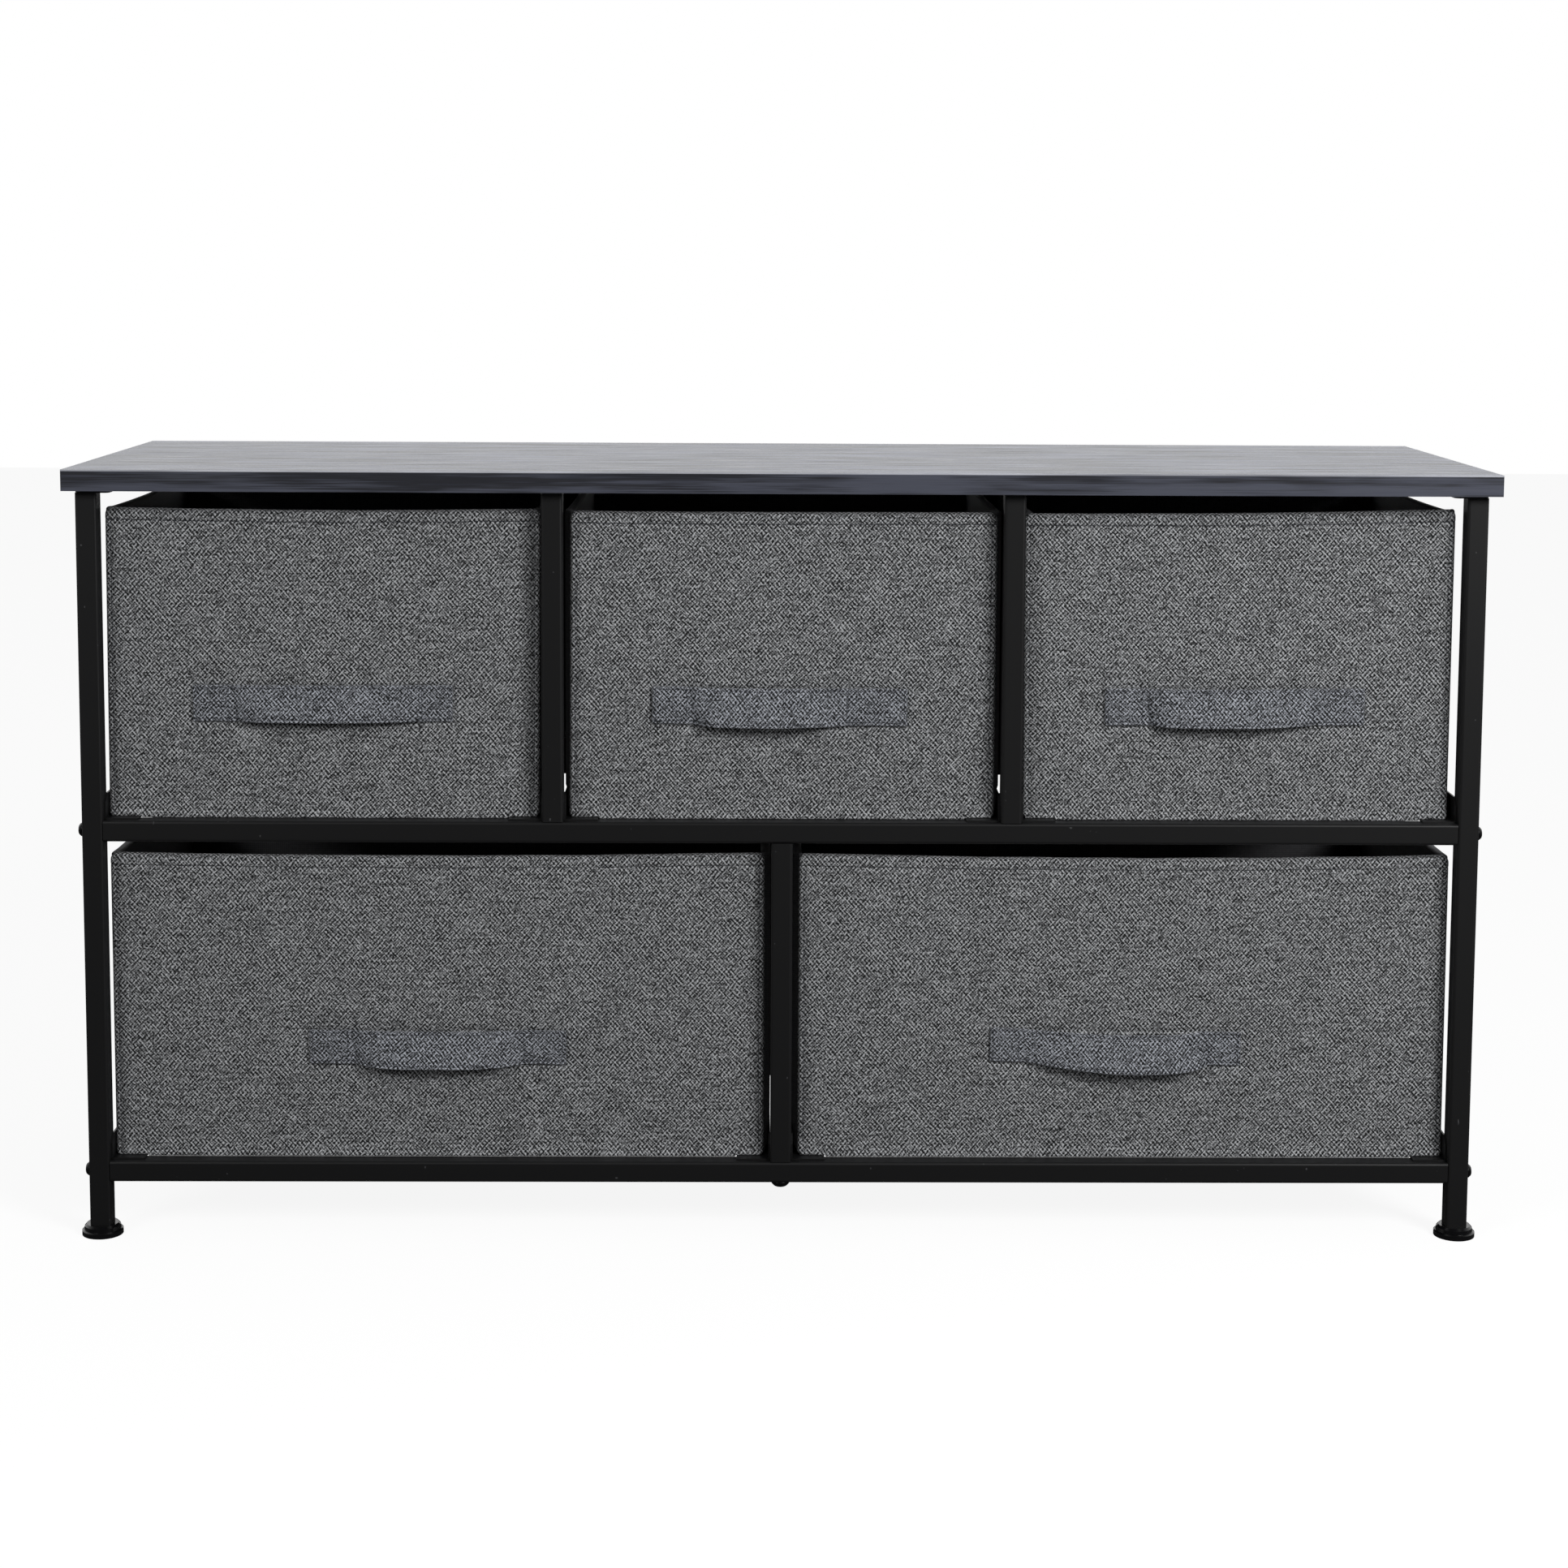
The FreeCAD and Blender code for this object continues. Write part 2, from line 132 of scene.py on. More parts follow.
def wood_print(name, dark, light, roughness, top=None):
    """Printed grain along X: fine pores over a broad, slow figure. On a strip, a pale line along its top
    arris is a painted highlight.
    """
    finish, tree, surface = new_finish(name)
    place = add_node(tree, "ShaderNodeTexCoord").outputs["Object"]
    layers = []
    for length, width in ((PORE_LENGTH, PORE_WIDTH), (FIGURE_LENGTH, FIGURE_WIDTH)):
        stretched = add_node(
            tree, "ShaderNodeVectorMath", {0: place, 1: (1 / length, 1 / width, 1 / width)},
            operation="MULTIPLY",
        )
        layer = add_node(
            tree, "ShaderNodeTexNoise",
            {"Vector": stretched.outputs[0], "Scale": 1.0, "Detail": 3.0, "Roughness": 0.6},
        )
        layers.append(layer.outputs["Fac"])
    pore, figure = layers
    grain = add_node(tree, "ShaderNodeMix", {"Factor": 0.6, "A": pore, "B": figure})
    shade = add_node(
        tree, "ShaderNodeMapRange", {"Value": grain.outputs["Result"], "From Min": 0.43, "From Max": 0.57},
    )
    colour = add_node(
        tree, "ShaderNodeMix", {"Factor": shade.outputs["Result"], "A": linear(dark), "B": linear(light)},
        data_type="RGBA",
    )
    # Painted highlight: a pale line along the strip's top arris, broken into patches by noise.
    if top is not None:
        height = add_node(tree, "ShaderNodeSeparateXYZ", {0: place}).outputs["Z"]
        arris_band = add_node(
            tree, "ShaderNodeMapRange",
            {"Value": height, "From Min": top - 1.5 * ARRIS_WIDTH, "From Max": top - ARRIS_WIDTH},
        )
        highlight_patches = add_node(tree, "ShaderNodeTexNoise", {"Vector": place, "Scale": 1 / ARRIS_HIGHLIGHT_PATCH, "Detail": 4.0})
        highlight_share = add_node(
            tree, "ShaderNodeMapRange",
            {"Value": highlight_patches.outputs["Fac"], "From Min": 0.35, "From Max": 0.6, "To Min": 0.4},
        )
        pale = add_node(
            tree, "ShaderNodeMath", {0: arris_band.outputs["Result"], 1: highlight_share.outputs["Result"]},
            operation="MULTIPLY",
        )
        colour = add_node(
            tree, "ShaderNodeMix",
            {"Factor": pale.outputs[0], "A": colour.outputs["Result"], "B": linear(ARRIS_HIGHLIGHT)},
            data_type="RGBA",
        )
    tree.links.new(colour.outputs["Result"], surface.inputs["Base Color"])
    polish = add_node(
        tree, "ShaderNodeMapRange",
        {
            "Value": pore, "From Min": 0.35, "From Max": 0.65, "To Min": roughness + 0.12,
            "To Max": roughness - 0.1,
        },
    )
    tree.links.new(polish.outputs["Result"], surface.inputs["Roughness"])
    emboss(tree, surface, grain.outputs["Result"], GRAIN_DEPTH, 0.7)
    return finish


board_print = wood_print("charcoal wood-grain laminate", LAMINATE_DARK, LAMINATE_LIGHT_AND_SHEEN, LAMINATE_ROUGHNESS)
dress(board_print, "top_panel")
strip_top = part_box("edge_banding")[1].z
strip_print = wood_print(
    "charcoal wood-grain edge strip", BANDING_DARK, BANDING_LIGHT, BANDING_ROUGHNESS, strip_top,
)
dress(strip_print, "edge_banding")

# ---- Steel frame and drawer runners ----
# Square steel tube, flat bar and folded angle, powder coated satin black. The coat has a fine
# orange peel, and handling leaves a few pale specks in it.
POWDER_BLACK = "#131314"
POWDER_SPECK = "#4c4c4e"
PEEL_SIZE = 1.5 * MM
PEEL_DEPTH = 0.02 * MM
SPECK_SIZE = 3 * MM

powder_coat, tree, surface = new_finish("satin black powder coat", Roughness=0.48)
place = add_node(tree, "ShaderNodeTexCoord").outputs["Object"]
peel = add_node(tree, "ShaderNodeTexNoise", {"Vector": place, "Scale": 1 / PEEL_SIZE, "Detail": 1.0})
emboss(tree, surface, peel.outputs["Fac"], PEEL_DEPTH, 0.4)
speck = add_node(tree, "ShaderNodeTexNoise", {"Vector": place, "Scale": 1 / SPECK_SIZE, "Detail": 0.0})
pale = add_node(
    tree, "ShaderNodeMapRange", {"Value": speck.outputs["Fac"], "From Min": 0.87, "From Max": 0.9},
)
blend(tree, surface, pale.outputs["Result"], POWDER_BLACK, POWDER_SPECK)
steelwork = ("leg_", "crossbar_", "upper_post_", "lower_post_", "mounting_bar_")
dress(powder_coat, *[name for name in nodes if name.startswith(steelwork) or "_runner_" in name])

# ---- Feet and post pegs ----
# Nylon mouldings pushed into the tubes' ends. The feet are glossy black with light scuffs.
MOULDING_BLACK = "#0d0d0f"
SCUFF_SIZE = 2.5 * MM

moulding, tree, surface = new_finish("glossy black nylon", Base_Color=linear(MOULDING_BLACK))
place = add_node(tree, "ShaderNodeTexCoord").outputs["Object"]
scuff = add_node(tree, "ShaderNodeTexNoise", {"Vector": place, "Scale": 1 / SCUFF_SIZE, "Detail": 2.0})
gloss = add_node(tree, "ShaderNodeMapRange", {"Value": scuff.outputs["Fac"], "To Min": 0.12, "To Max": 0.26})
tree.links.new(gloss.outputs["Result"], surface.inputs["Roughness"])
dress(moulding, "feet", "post_pegs")

# ---- Threaded inserts and board screws ----
# Zinc-plated steel, hidden in the tubes and under the board. The plating is slightly cloudy.
ZINC = "#b9babd"
CLOUD_SIZE = 4 * MM

zinc, tree, surface = new_finish("zinc-plated steel", Base_Color=linear(ZINC), Metallic=1.0)
place = add_node(tree, "ShaderNodeTexCoord").outputs["Object"]
cloud = add_node(tree, "ShaderNodeTexNoise", {"Vector": place, "Scale": 1 / CLOUD_SIZE, "Detail": 3.0})
dulling = add_node(tree, "ShaderNodeMapRange", {"Value": cloud.outputs["Fac"], "To Min": 0.28, "To Max": 0.5})
tree.links.new(dulling.outputs["Result"], surface.inputs["Roughness"])
dress(zinc, "threaded_inserts", "board_screws")

# ---- Frame bolts ----
# Black button-head bolts with a hexagon socket. Two enter each leg from its outer side, and one
# with a wider head goes up through each bottom crossbar into the lower post.
BOLT_BLACK = "#161617"
BOLT_LENGTH = 25 * MM
STEM_RADIUS = 3 * MM
SOCKET_WIDTH = 4 * MM
SOCKET_DEPTH = 1.9 * MM
HEAD_SIZES = {"leg_bolts": (5.25 * MM, 3.3 * MM), "post_bolts": (7 * MM, 4.2 * MM)}
HEAD_OUTLINE = ((1, 0), (0.99, 0.15), (0.935, 0.4), (0.83, 0.64), (0.71, 0.85), (0.59, 0.97), (0.5, 1))
TURNS = 24

blacking, tree, surface = new_finish("black oxide steel", Base_Color=linear(BOLT_BLACK), Metallic=0.6)
place = add_node(tree, "ShaderNodeTexCoord").outputs["Object"]
stain = add_node(tree, "ShaderNodeTexNoise", {"Vector": place, "Scale": 1 / SCUFF_SIZE, "Detail": 3.0})
sheen = add_node(tree, "ShaderNodeMapRange", {"Value": stain.outputs["Fac"], "To Min": 0.24, "To Max": 0.45})
tree.links.new(sheen.outputs["Result"], surface.inputs["Roughness"])


def new_mesh(name, points, faces):
    """A mesh object at the origin, smooth shaded."""
    mesh = bpy.data.meshes.new(name)
    mesh.from_pydata(points, [], faces)
    mesh.shade_smooth()
    made = bpy.data.objects.new(name, mesh)
    bpy.context.collection.objects.link(made)
    return made


def bolt_pattern(head_radius, top):
    """One bolt along Z: its stem runs down from the origin, its domed head stands up."""
    rings = [[(STEM_RADIUS, -BOLT_LENGTH)] * TURNS, [(STEM_RADIUS, 0)] * TURNS]
    rings += [[(radius * head_radius, height * top)] * TURNS for radius, height in HEAD_OUTLINE]
    flat = math.pi / 3
    hexagon = []
    for step in range(TURNS):
        off_middle = (2 * math.pi * step / TURNS) % flat - flat / 2
        hexagon.append(SOCKET_WIDTH / 2 / math.cos(off_middle))
    rings += [[(radius, top) for radius in hexagon], [(radius, top - SOCKET_DEPTH) for radius in hexagon]]
    points = []
    for ring in rings:
        for step, (radius, height) in enumerate(ring):
            angle = 2 * math.pi * step / TURNS
            points.append((radius * math.cos(angle), radius * math.sin(angle), height))
    faces = [tuple(reversed(range(TURNS)))]
    for ring in range(len(rings) - 1):
        for step in range(TURNS):
            here, there = ring * TURNS, (ring + 1) * TURNS
            after = (step + 1) % TURNS
            faces.append((here + step, here + after, there + after, there + step))
    faces.append(tuple(range((len(rings) - 1) * TURNS, len(rings) * TURNS)))
    return new_mesh("bolt_pattern", points, faces)


def new_tree(name, inputs):
    """A geometry tree with those named inputs, and its input and output nodes."""
    tree = bpy.data.node_groups.new(name, "GeometryNodeTree")
    tree.interface.new_socket("Geometry", in_out="INPUT", socket_type="NodeSocketGeometry")
    tree.interface.new_socket("Geometry", in_out="OUTPUT", socket_type="NodeSocketGeometry")
    for label, kind in inputs.items():
        tree.interface.new_socket(label, in_out="INPUT", socket_type=kind)
    return tree, add_node(tree, "NodeGroupInput").outputs, add_node(tree, "NodeGroupOutput").inputs


def grown(base, tree, values):
    """The plain mesh that the tree makes of a base object, in that object's place."""
    step = base.modifiers.new(tree.name, "NODES")
    step.node_group = tree
    for item in tree.interface.items_tree:
        if item.in_out == "INPUT" and item.name in values:
            step[item.identifier] = values[item.name]
    shown = base.evaluated_get(bpy.context.evaluated_depsgraph_get())
    mesh = bpy.data.meshes.new_from_object(shown)
    base.modifiers.remove(step)
    base.data = mesh
    return base


def bolt_tree():
    """Stands a bolt on each point, its head towards the point's facing."""
    tree, given, result = new_tree(
        "bolts_on_points", {"Bolt": "NodeSocketObject", "Finish": "NodeSocketMaterial"},
    )
    bolt = add_node(tree, "GeometryNodeObjectInfo", {"Object": given["Bolt"]})
    facing = add_node(tree, "GeometryNodeInputNamedAttribute", {"Name": "facing"}, data_type="FLOAT_VECTOR")
    turn = add_node(
        tree, "FunctionNodeAlignRotationToVector", {"Vector": facing.outputs["Attribute"]}, axis="Z",
    )
    placed = add_node(
        tree, "GeometryNodeInstanceOnPoints",
        {
            "Points": given["Geometry"], "Instance": bolt.outputs["Geometry"],
            "Rotation": turn.outputs["Rotation"],
        },
    )
    solid = add_node(tree, "GeometryNodeRealizeInstances", {"Geometry": placed.outputs["Instances"]})
    finished = add_node(
        tree, "GeometryNodeSetMaterial",
        {"Geometry": solid.outputs["Geometry"], "Material": given["Finish"]},
    )
    tree.links.new(finished.outputs["Geometry"], result["Geometry"])
    return tree


def middle(name):
    """The centre of a solid's box."""
    low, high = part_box(name)
    return (low + high) / 2


def bolt_places():
    """Where each bolt of each kind enters the frame, and which way its head faces."""
    into_legs, into_posts = [], []
    for end in ("front", "rear"):
        for side, outward in (("left", -1), ("right", 1)):
            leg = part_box(f"leg_{end}_{side}")[0 if outward < 0 else 1]
            for level in ("middle", "bottom"):
                bar = middle(f"crossbar_{end}_{level}")
                into_legs.append(((leg.x, bar.y, bar.z), (outward, 0, 0)))
        post = middle(f"lower_post_{end}")
        into_posts.append(((post.x, post.y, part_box(f"crossbar_{end}_bottom")[0].z), (0, 0, -1)))
    return {"leg_bolts": into_legs, "post_bolts": into_posts}


bolts_on_points = bolt_tree()
for name, places in bolt_places().items():
    bolts = new_mesh(name, [place for place, _ in places], [])
    facing = bolts.data.attributes.new("facing", "FLOAT_VECTOR", "POINT")
    facing.data.foreach_set("vector", [value for _, outward in places for value in outward])
    pattern = bolt_pattern(*HEAD_SIZES[name])
    grown(bolts, bolts_on_points, {"Bolt": pattern, "Finish": blacking})
    bpy.data.objects.remove(pattern)
    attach(bolts, "frame")
    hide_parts("frame_bolts")

# ---- Drawer boards ----
# Raw hardboard: one loose on the bottom of each drawer, and three hidden in its pockets. It is
# pressed from brown fibre, so it is flecked and has a dull surface.
HARDBOARD_DARK = "#4a3a2c"
HARDBOARD_LIGHT = "#7a6650"
FIBRE_SIZE = 1.5 * MM
FIBRE_DEPTH = 0.1 * MM

hardboard, tree, surface = new_finish("raw hardboard", Roughness=0.8)
place = add_node(tree, "ShaderNodeTexCoord").outputs["Object"]
fibre = add_node(
    tree, "ShaderNodeTexNoise", {"Vector": place, "Scale": 1 / FIBRE_SIZE, "Detail": 4.0, "Roughness": 0.7},
)
fleck = add_node(
    tree, "ShaderNodeMapRange", {"Value": fibre.outputs["Fac"], "From Min": 0.35, "From Max": 0.65},
)
blend(tree, surface, fleck.outputs["Result"], HARDBOARD_DARK, HARDBOARD_LIGHT)
emboss(tree, surface, fibre.outputs["Fac"], FIBRE_DEPTH, 0.4)
dress(hardboard, *[name for name in nodes if name.endswith(("_stiffeners", "_base_board"))])

# ---- Drawer cloth: finishes ----
# The front is a broken twill of heather polyester: short ribs lean both ways, and thick places in
# the yarn show as pale and dark streaks. The rest is black spunbonded felt, pressed in a fine grid.

# The real yarns lie 0.6 mm apart and the ribs 1.5 mm. The yarns and the stronger ribs are drawn
# coarser, so that they show.
YARN_PITCH = 0.9 * MM
YARN_DARK = "#0d0e0f"
YARN_LIGHT = "#d8dadd"
STRAP_LIGHT = "#cdd1da"
RIBS = ((0.46, 0.48, 0.6), (0.31, 0.27, 1.2))
RIB_BREAK = 2.6 * MM
WANDER_SIZE = 1 / 45
SLUBS = ((26, 1.4, 0.7), (7, 1.7, 0.5), (1.5, 18, 0.25))
WANDER = 2.4 * MM
WEAVE_DEPTH = 0.12 * MM
TONE = 0.572
RIB_CONTRAST = 0.36
CELL_CONTRAST = 0.4
FELT_BLACK = "#464648"
FELT_GREY = "#66666a"
FELT_PITCH = 1.6 * MM
FELT_DEPTH = 0.1 * MM
FUZZ_SIZE = 1 / 240


def woven_finish(name, light):
    """Broken twill on the piece's own cloth map, which is in metres along the weft and the warp.

    Each rib has its turns per millimetre across and up, and its strength. Each slub has its
    length across and up in millimetres, and its contrast.
    """
    finish, tree, surface = new_finish(name, Roughness=0.85, Sheen_Weight=0.12, Sheen_Roughness=0.4)
    surface.inputs["Specular IOR Level"].default_value = 0.25
    place = add_node(tree, "ShaderNodeUVMap", uv_map="cloth").outputs["UV"]
    wander = add_node(tree, "ShaderNodeTexNoise", {"Vector": place, "Scale": 1 / WANDER_SIZE, "Detail": 1.0})
    drift = add_node(
        tree, "ShaderNodeVectorMath", {0: wander.outputs["Color"], 1: (WANDER, WANDER, 0)},
        operation="MULTIPLY",
    )
    moved = add_node(tree, "ShaderNodeVectorMath", {0: place, 1: drift.outputs[0]}, operation="ADD")
    ribs = 0.0
    for number, (across, up, strength) in enumerate(RIBS):
        for slant in (1, -1):
            turns = (2 * math.pi * across / MM, 2 * math.pi * slant * up / MM, 0)
            phase = add_node(
                tree, "ShaderNodeVectorMath", {0: moved.outputs[0], 1: turns}, operation="DOT_PRODUCT",
            )
            rib = add_node(tree, "ShaderNodeMath", {0: phase.outputs["Value"]}, operation="COSINE")
            patch = add_node(
                tree, "ShaderNodeTexNoise",
                {"Vector": place, "W": 3.0 * number + slant, "Scale": 1 / RIB_BREAK, "Detail": 0.0},
                noise_dimensions="4D",
            )
            share = add_node(
                tree, "ShaderNodeMapRange",
                {"Value": patch.outputs["Fac"], "From Min": 0.36, "From Max": 0.64, "To Max": strength},
            )
            ribs = add_node(
                tree, "ShaderNodeMath", {0: rib.outputs[0], 1: share.outputs["Result"], 2: ribs},
                operation="MULTIPLY_ADD",
            ).outputs[0]
    yarns = add_node(
        tree, "ShaderNodeVectorMath", {0: moved.outputs[0], 1: (1 / YARN_PITCH, 1 / YARN_PITCH, 0)},
        operation="MULTIPLY",
    )
    cell = add_node(tree, "ShaderNodeVectorMath", {0: yarns.outputs[0]}, operation="FLOOR")
    mixed = add_node(tree, "ShaderNodeTexWhiteNoise", {"Vector": cell.outputs[0]}, noise_dimensions="2D")
    inside = add_node(tree, "ShaderNodeVectorMath", {0: yarns.outputs[0]}, operation="FRACTION")
    split = add_node(tree, "ShaderNodeSeparateXYZ", {0: inside.outputs[0]})
    humps = []
    for across in ("X", "Y"):
        half_turn = add_node(
            tree, "ShaderNodeMath", {0: split.outputs[across], 1: math.pi}, operation="MULTIPLY",
        )
        humps.append(add_node(tree, "ShaderNodeMath", {0: half_turn.outputs[0]}, operation="SINE").outputs[0])
    hump = add_node(tree, "ShaderNodeMath", {0: humps[0], 1: humps[1]}, operation="MULTIPLY")
    shade = add_node(
        tree, "ShaderNodeMath", {0: ribs, 1: RIB_CONTRAST, 2: TONE}, operation="MULTIPLY_ADD",
    ).outputs[0]
    parts = [(mixed.outputs["Value"], CELL_CONTRAST)]
    for across, up, contrast in SLUBS:
        streaks = add_node(
            tree, "ShaderNodeVectorMath", {0: place, 1: (1 / (across * MM), 1 / (up * MM), 0)},
            operation="MULTIPLY",
        )
        slub = add_node(
            tree, "ShaderNodeTexNoise", {"Vector": streaks.outputs[0], "Scale": 1.0, "Detail": 2.0},
        )
        parts.append((slub.outputs["Fac"], contrast))
    for part, contrast in parts:
        centred = add_node(tree, "ShaderNodeMath", {0: part, 1: -0.5}, operation="ADD")
        shade = add_node(
            tree, "ShaderNodeMath", {0: centred.outputs[0], 1: contrast, 2: shade},
            operation="MULTIPLY_ADD",
        ).outputs[0]
    # Painted shade: each yarn is darkened towards its edges, in the gaps between yarns, and a touch lighter
    # on its crown.
    yarn_gap_shade = add_node(
        tree, "ShaderNodeMapRange",
        {"Value": hump.outputs[0], "From Max": 0.6, "To Min": 0.75, "To Max": 1.05},
    )
    lit = add_node(
        tree, "ShaderNodeMath", {0: shade, 1: yarn_gap_shade.outputs["Result"]}, operation="MULTIPLY", use_clamp=True,
    )
    even = add_node(tree, "ShaderNodeMath", {0: lit.outputs[0], 1: 2.2}, operation="POWER")
    blend(tree, surface, even.outputs[0], YARN_DARK, light)
    height = add_node(tree, "ShaderNodeMath", {0: ribs, 1: hump.outputs[0]}, operation="ADD")
    emboss(tree, surface, height.outputs[0], WEAVE_DEPTH, 0.6)
    return finish


def felt_finish():
    """Black felt with its grid of pressed dots, on the cloth map too."""
    finish, tree, surface = new_finish("black spunbonded felt", Roughness=0.8, Sheen_Weight=0.1)
    place = add_node(tree, "ShaderNodeUVMap", uv_map="cloth").outputs["UV"]
    dots = add_node(
        tree, "ShaderNodeTexVoronoi", {"Vector": place, "Scale": 1 / FELT_PITCH, "Randomness": 0.15},
    )
    pressed = add_node(
        tree, "ShaderNodeMapRange", {"Value": dots.outputs["Distance"], "From Min": 0.2, "From Max": 0.45},
    )
    fuzz = add_node(tree, "ShaderNodeTexNoise", {"Vector": place, "Scale": 1 / FUZZ_SIZE, "Detail": 3.0})
    mottle = add_node(
        tree, "ShaderNodeMath", {0: pressed.outputs["Result"], 1: fuzz.outputs["Fac"]},
        operation="MULTIPLY",
    )
    blend(tree, surface, mottle.outputs[0], FELT_BLACK, FELT_GREY)
    emboss(tree, surface, pressed.outputs["Result"], FELT_DEPTH, 0.4)
    return finish


weave = woven_finish("heather polyester twill", YARN_LIGHT)
strap_weave = woven_finish("blue heather polyester twill", STRAP_LIGHT)
felt = felt_finish()

# ---- Drawer fronts ----
# A stiff board in a cover of woven cloth, turned over it at the edges. A hem line is sewn along
# the top and a seam down each side. The top sags a little between the corners.
FRONT_WALL = 5.4 * MM
COVER_EDGE = 2.4 * MM
COVER_STEP = 5 * MM
TOP_CORNER = 5 * MM
BOTTOM_CORNER = 2.6 * MM
HEM_DROP = 8.5 * MM
SEAM_INSET = 4 * MM
SEAM_DEPTH = 0.75 * MM
SEAM_HALF = 1 * MM
HEM_SWELL = 0.5 * MM
HEM_ROLL = 2.2 * MM
BOARD_TOP = 5.5 * MM
PRESS_DEPTH = 0.75 * MM
PRESS_HALF = 2.2 * MM
STRAP_HOLD = 12 * MM
SIDE_SEAM_SHARE = 0.8
CLOTH_SWELL = 0.3 * MM
CLOTH_WAVE = 0.45 * MM
TOP_WAVE = 0.35 * MM
LIP_DROP = 1.4 * MM
LIP_START = 20.6 * MM
LIP_END = 21.6 * MM
BOTTOM_ROLL = 2 * MM
BOTTOM_RISE = 7 * MM
SIT_DROP = 0.2 * MM
CRISP_SHARE = -1.3
ROLL_LINES = (3.2 * MM, 4.2 * MM, BOARD_TOP)
QUICK_SHARE = 0.3
# Each rate is in waves per metre.
SLOW_RATE = 11
QUICK_RATE = 38
TOP_RATE = 25

# How each cover settled, in mm: how far its left and right edges stand to the right, at the top and
# at the bottom, and how high its top edge stands at the left, middle and right. The seed is for waves.
MAKES = {
    "upper_left": {"left": (-1.2, -2.2), "right": (2.7, 0.95), "top": (1.1, -0.9, 0.9), "seed": 3},
    "upper_middle": {"left": (0.85, -0.3), "right": (0.05, -0.25), "top": (-0.8, -1.0, -0.5), "seed": 7},
    "upper_right": {"left": (-3.3, -2.1), "right": (-0.85, -0.85), "top": (-1.1, -0.4, 3.0), "seed": 12},
    "lower_left": {"left": (-2.3, -2.2), "right": (-0.8, -0.85), "top": (1.3, -0.9, 2.1), "seed": 21},
    "lower_right": {"left": (0.85, 0.85), "right": (1.6, 2.2), "top": (1.8, -1.3, 1.5), "seed": 30},
}

# How each strap settled, in mm, with pairs for its left and right: how far its ends moved right and
# up, its share of the full width, its sewn lengths, how far it bows out, how square the bow's ends
# are, how far it droops, and where each crease is, how deep and half how wide.
STRAPS = {
    "upper_left": {
        "ends": (0.3, -1.7), "rise": (3.4, 3.6), "narrow": 0.96, "tabs": (29.5, 24), "bow": 8.5,
        "steep": (5.5, 2.2), "droop": 0.1, "creases": ((29.5, 1.2, 1.8), (49, 0.6, 5)),
    },
    "upper_middle": {
        "ends": (0.2, -4.1), "rise": (3.1, 1.8), "narrow": 0.99, "tabs": (29, 46), "bow": 12,
        "steep": (5.5, 2.0), "droop": 0.8, "creases": ((29, 1.2, 1.8), (130, 0.5, 5)),
    },
    "upper_right": {
        "ends": (-2.9, -4.0), "rise": (2.8, 3.2), "narrow": 0.98, "tabs": (30.5, 38), "bow": 11.3,
        "steep": (5.5, 2.2), "droop": 0.7, "creases": ((30.5, 1.2, 1.8), (148, 0.6, 5)),
    },
    "lower_left": {
        "ends": (-1.5, -3.5), "rise": (1.8, 1.5), "narrow": 0.92, "tabs": (31.5, 32), "bow": 12.6,
        "steep": (4.5, 2.6), "droop": 0.9, "creases": ((31.5, 1.0, 2.4), (152, 0.6, 2.5)),
    },
    "lower_right": {
        "ends": (-0.4, -5.4), "rise": (4.3, 1.5), "narrow": 0.91, "tabs": (25, 26), "bow": 13.1,
        "steep": (1.6, 4.5), "droop": 4.4, "creases": ((73, 0.7, 5), (158, 1.2, 2)),
    },
}
STRAP_TILT = 0.8


def grid_lines(low, high, radius, step, extra=()):
    """Where a slab's grid lines cross one axis: close together round its edges."""
    edge = [radius * (1 - math.tan(math.radians(angle))) for angle in (45, 30, 15, 0)]
    inner = high - low - 2 * radius
    count = max(1, round(inner / step))
    lines = [low + at for at in edge] + [high - at for at in edge]
    lines += [low + radius + inner * part / count for part in range(1, count)]
    lines += extra
    return sorted({round(line, 6) for line in lines})


def slab(name, low, high, radius, step, shape, finishes, choose=None, extra=((), (), ())):
    """A closed slab with rounded edges on an even grid, each point then moved by shape(point).

    Its cloth map unrolls the front over the top, bottom and sides. choose(axis, side, point)
    gives the number of a face's finish.
    """
    lines = [grid_lines(low[axis], high[axis], radius, step, extra[axis]) for axis in range(3)]
    made, points, faces, unrolled, chosen = {}, [], [], [], []

    def corner(place):
        if place not in made:
            flat = Vector(lines[axis][place[axis]] for axis in range(3))
            core = Vector(min(max(flat[axis], low[axis] + radius), high[axis] - radius) for axis in range(3))
            made[place] = len(points)
            points.append(shape(core + (flat - core).normalized() * radius))
        return made[place]

    def on_map(axis, side, flat):
        depth = flat.y - low[1]
        if axis == 1:
            return (flat.x, flat.z)
        if axis == 2:
            return (flat.x, high[2] + depth) if side else (flat.x, low[2] - depth)
        return (high[0] + depth, flat.z) if side else (low[0] - depth, flat.z)

    for axis, (across, up) in enumerate(((1, 2), (0, 2), (0, 1))):
        for side in (0, 1):
            for a in range(len(lines[across]) - 1):
                for b in range(len(lines[up]) - 1):
                    ring = []
                    for step_a, step_b in ((0, 0), (1, 0), (1, 1), (0, 1)):
                        place = [0, 0, 0]
                        place[axis] = side * (len(lines[axis]) - 1)
                        place[across], place[up] = a + step_a, b + step_b
                        ring.append(tuple(place))
                    if (side == 0) != (axis == 1):
                        ring.reverse()
                    faces.append([corner(place) for place in ring])
                    flats = [Vector(lines[n][place[n]] for n in range(3)) for place in ring]
                    unrolled += [on_map(axis, side, flat) for flat in flats]
                    chosen.append(choose(axis, side, sum(flats, Vector()) / 4) if choose else 0)
    made_piece = new_mesh(name, points, faces)
    for finish in finishes:
        made_piece.data.materials.append(finish)
    made_piece.data.polygons.foreach_set("material_index", chosen)
    cloth_map = made_piece.data.uv_layers.new(name="cloth")
    cloth_map.data.foreach_set("uv", [value for pair in unrolled for value in pair])
    return made_piece


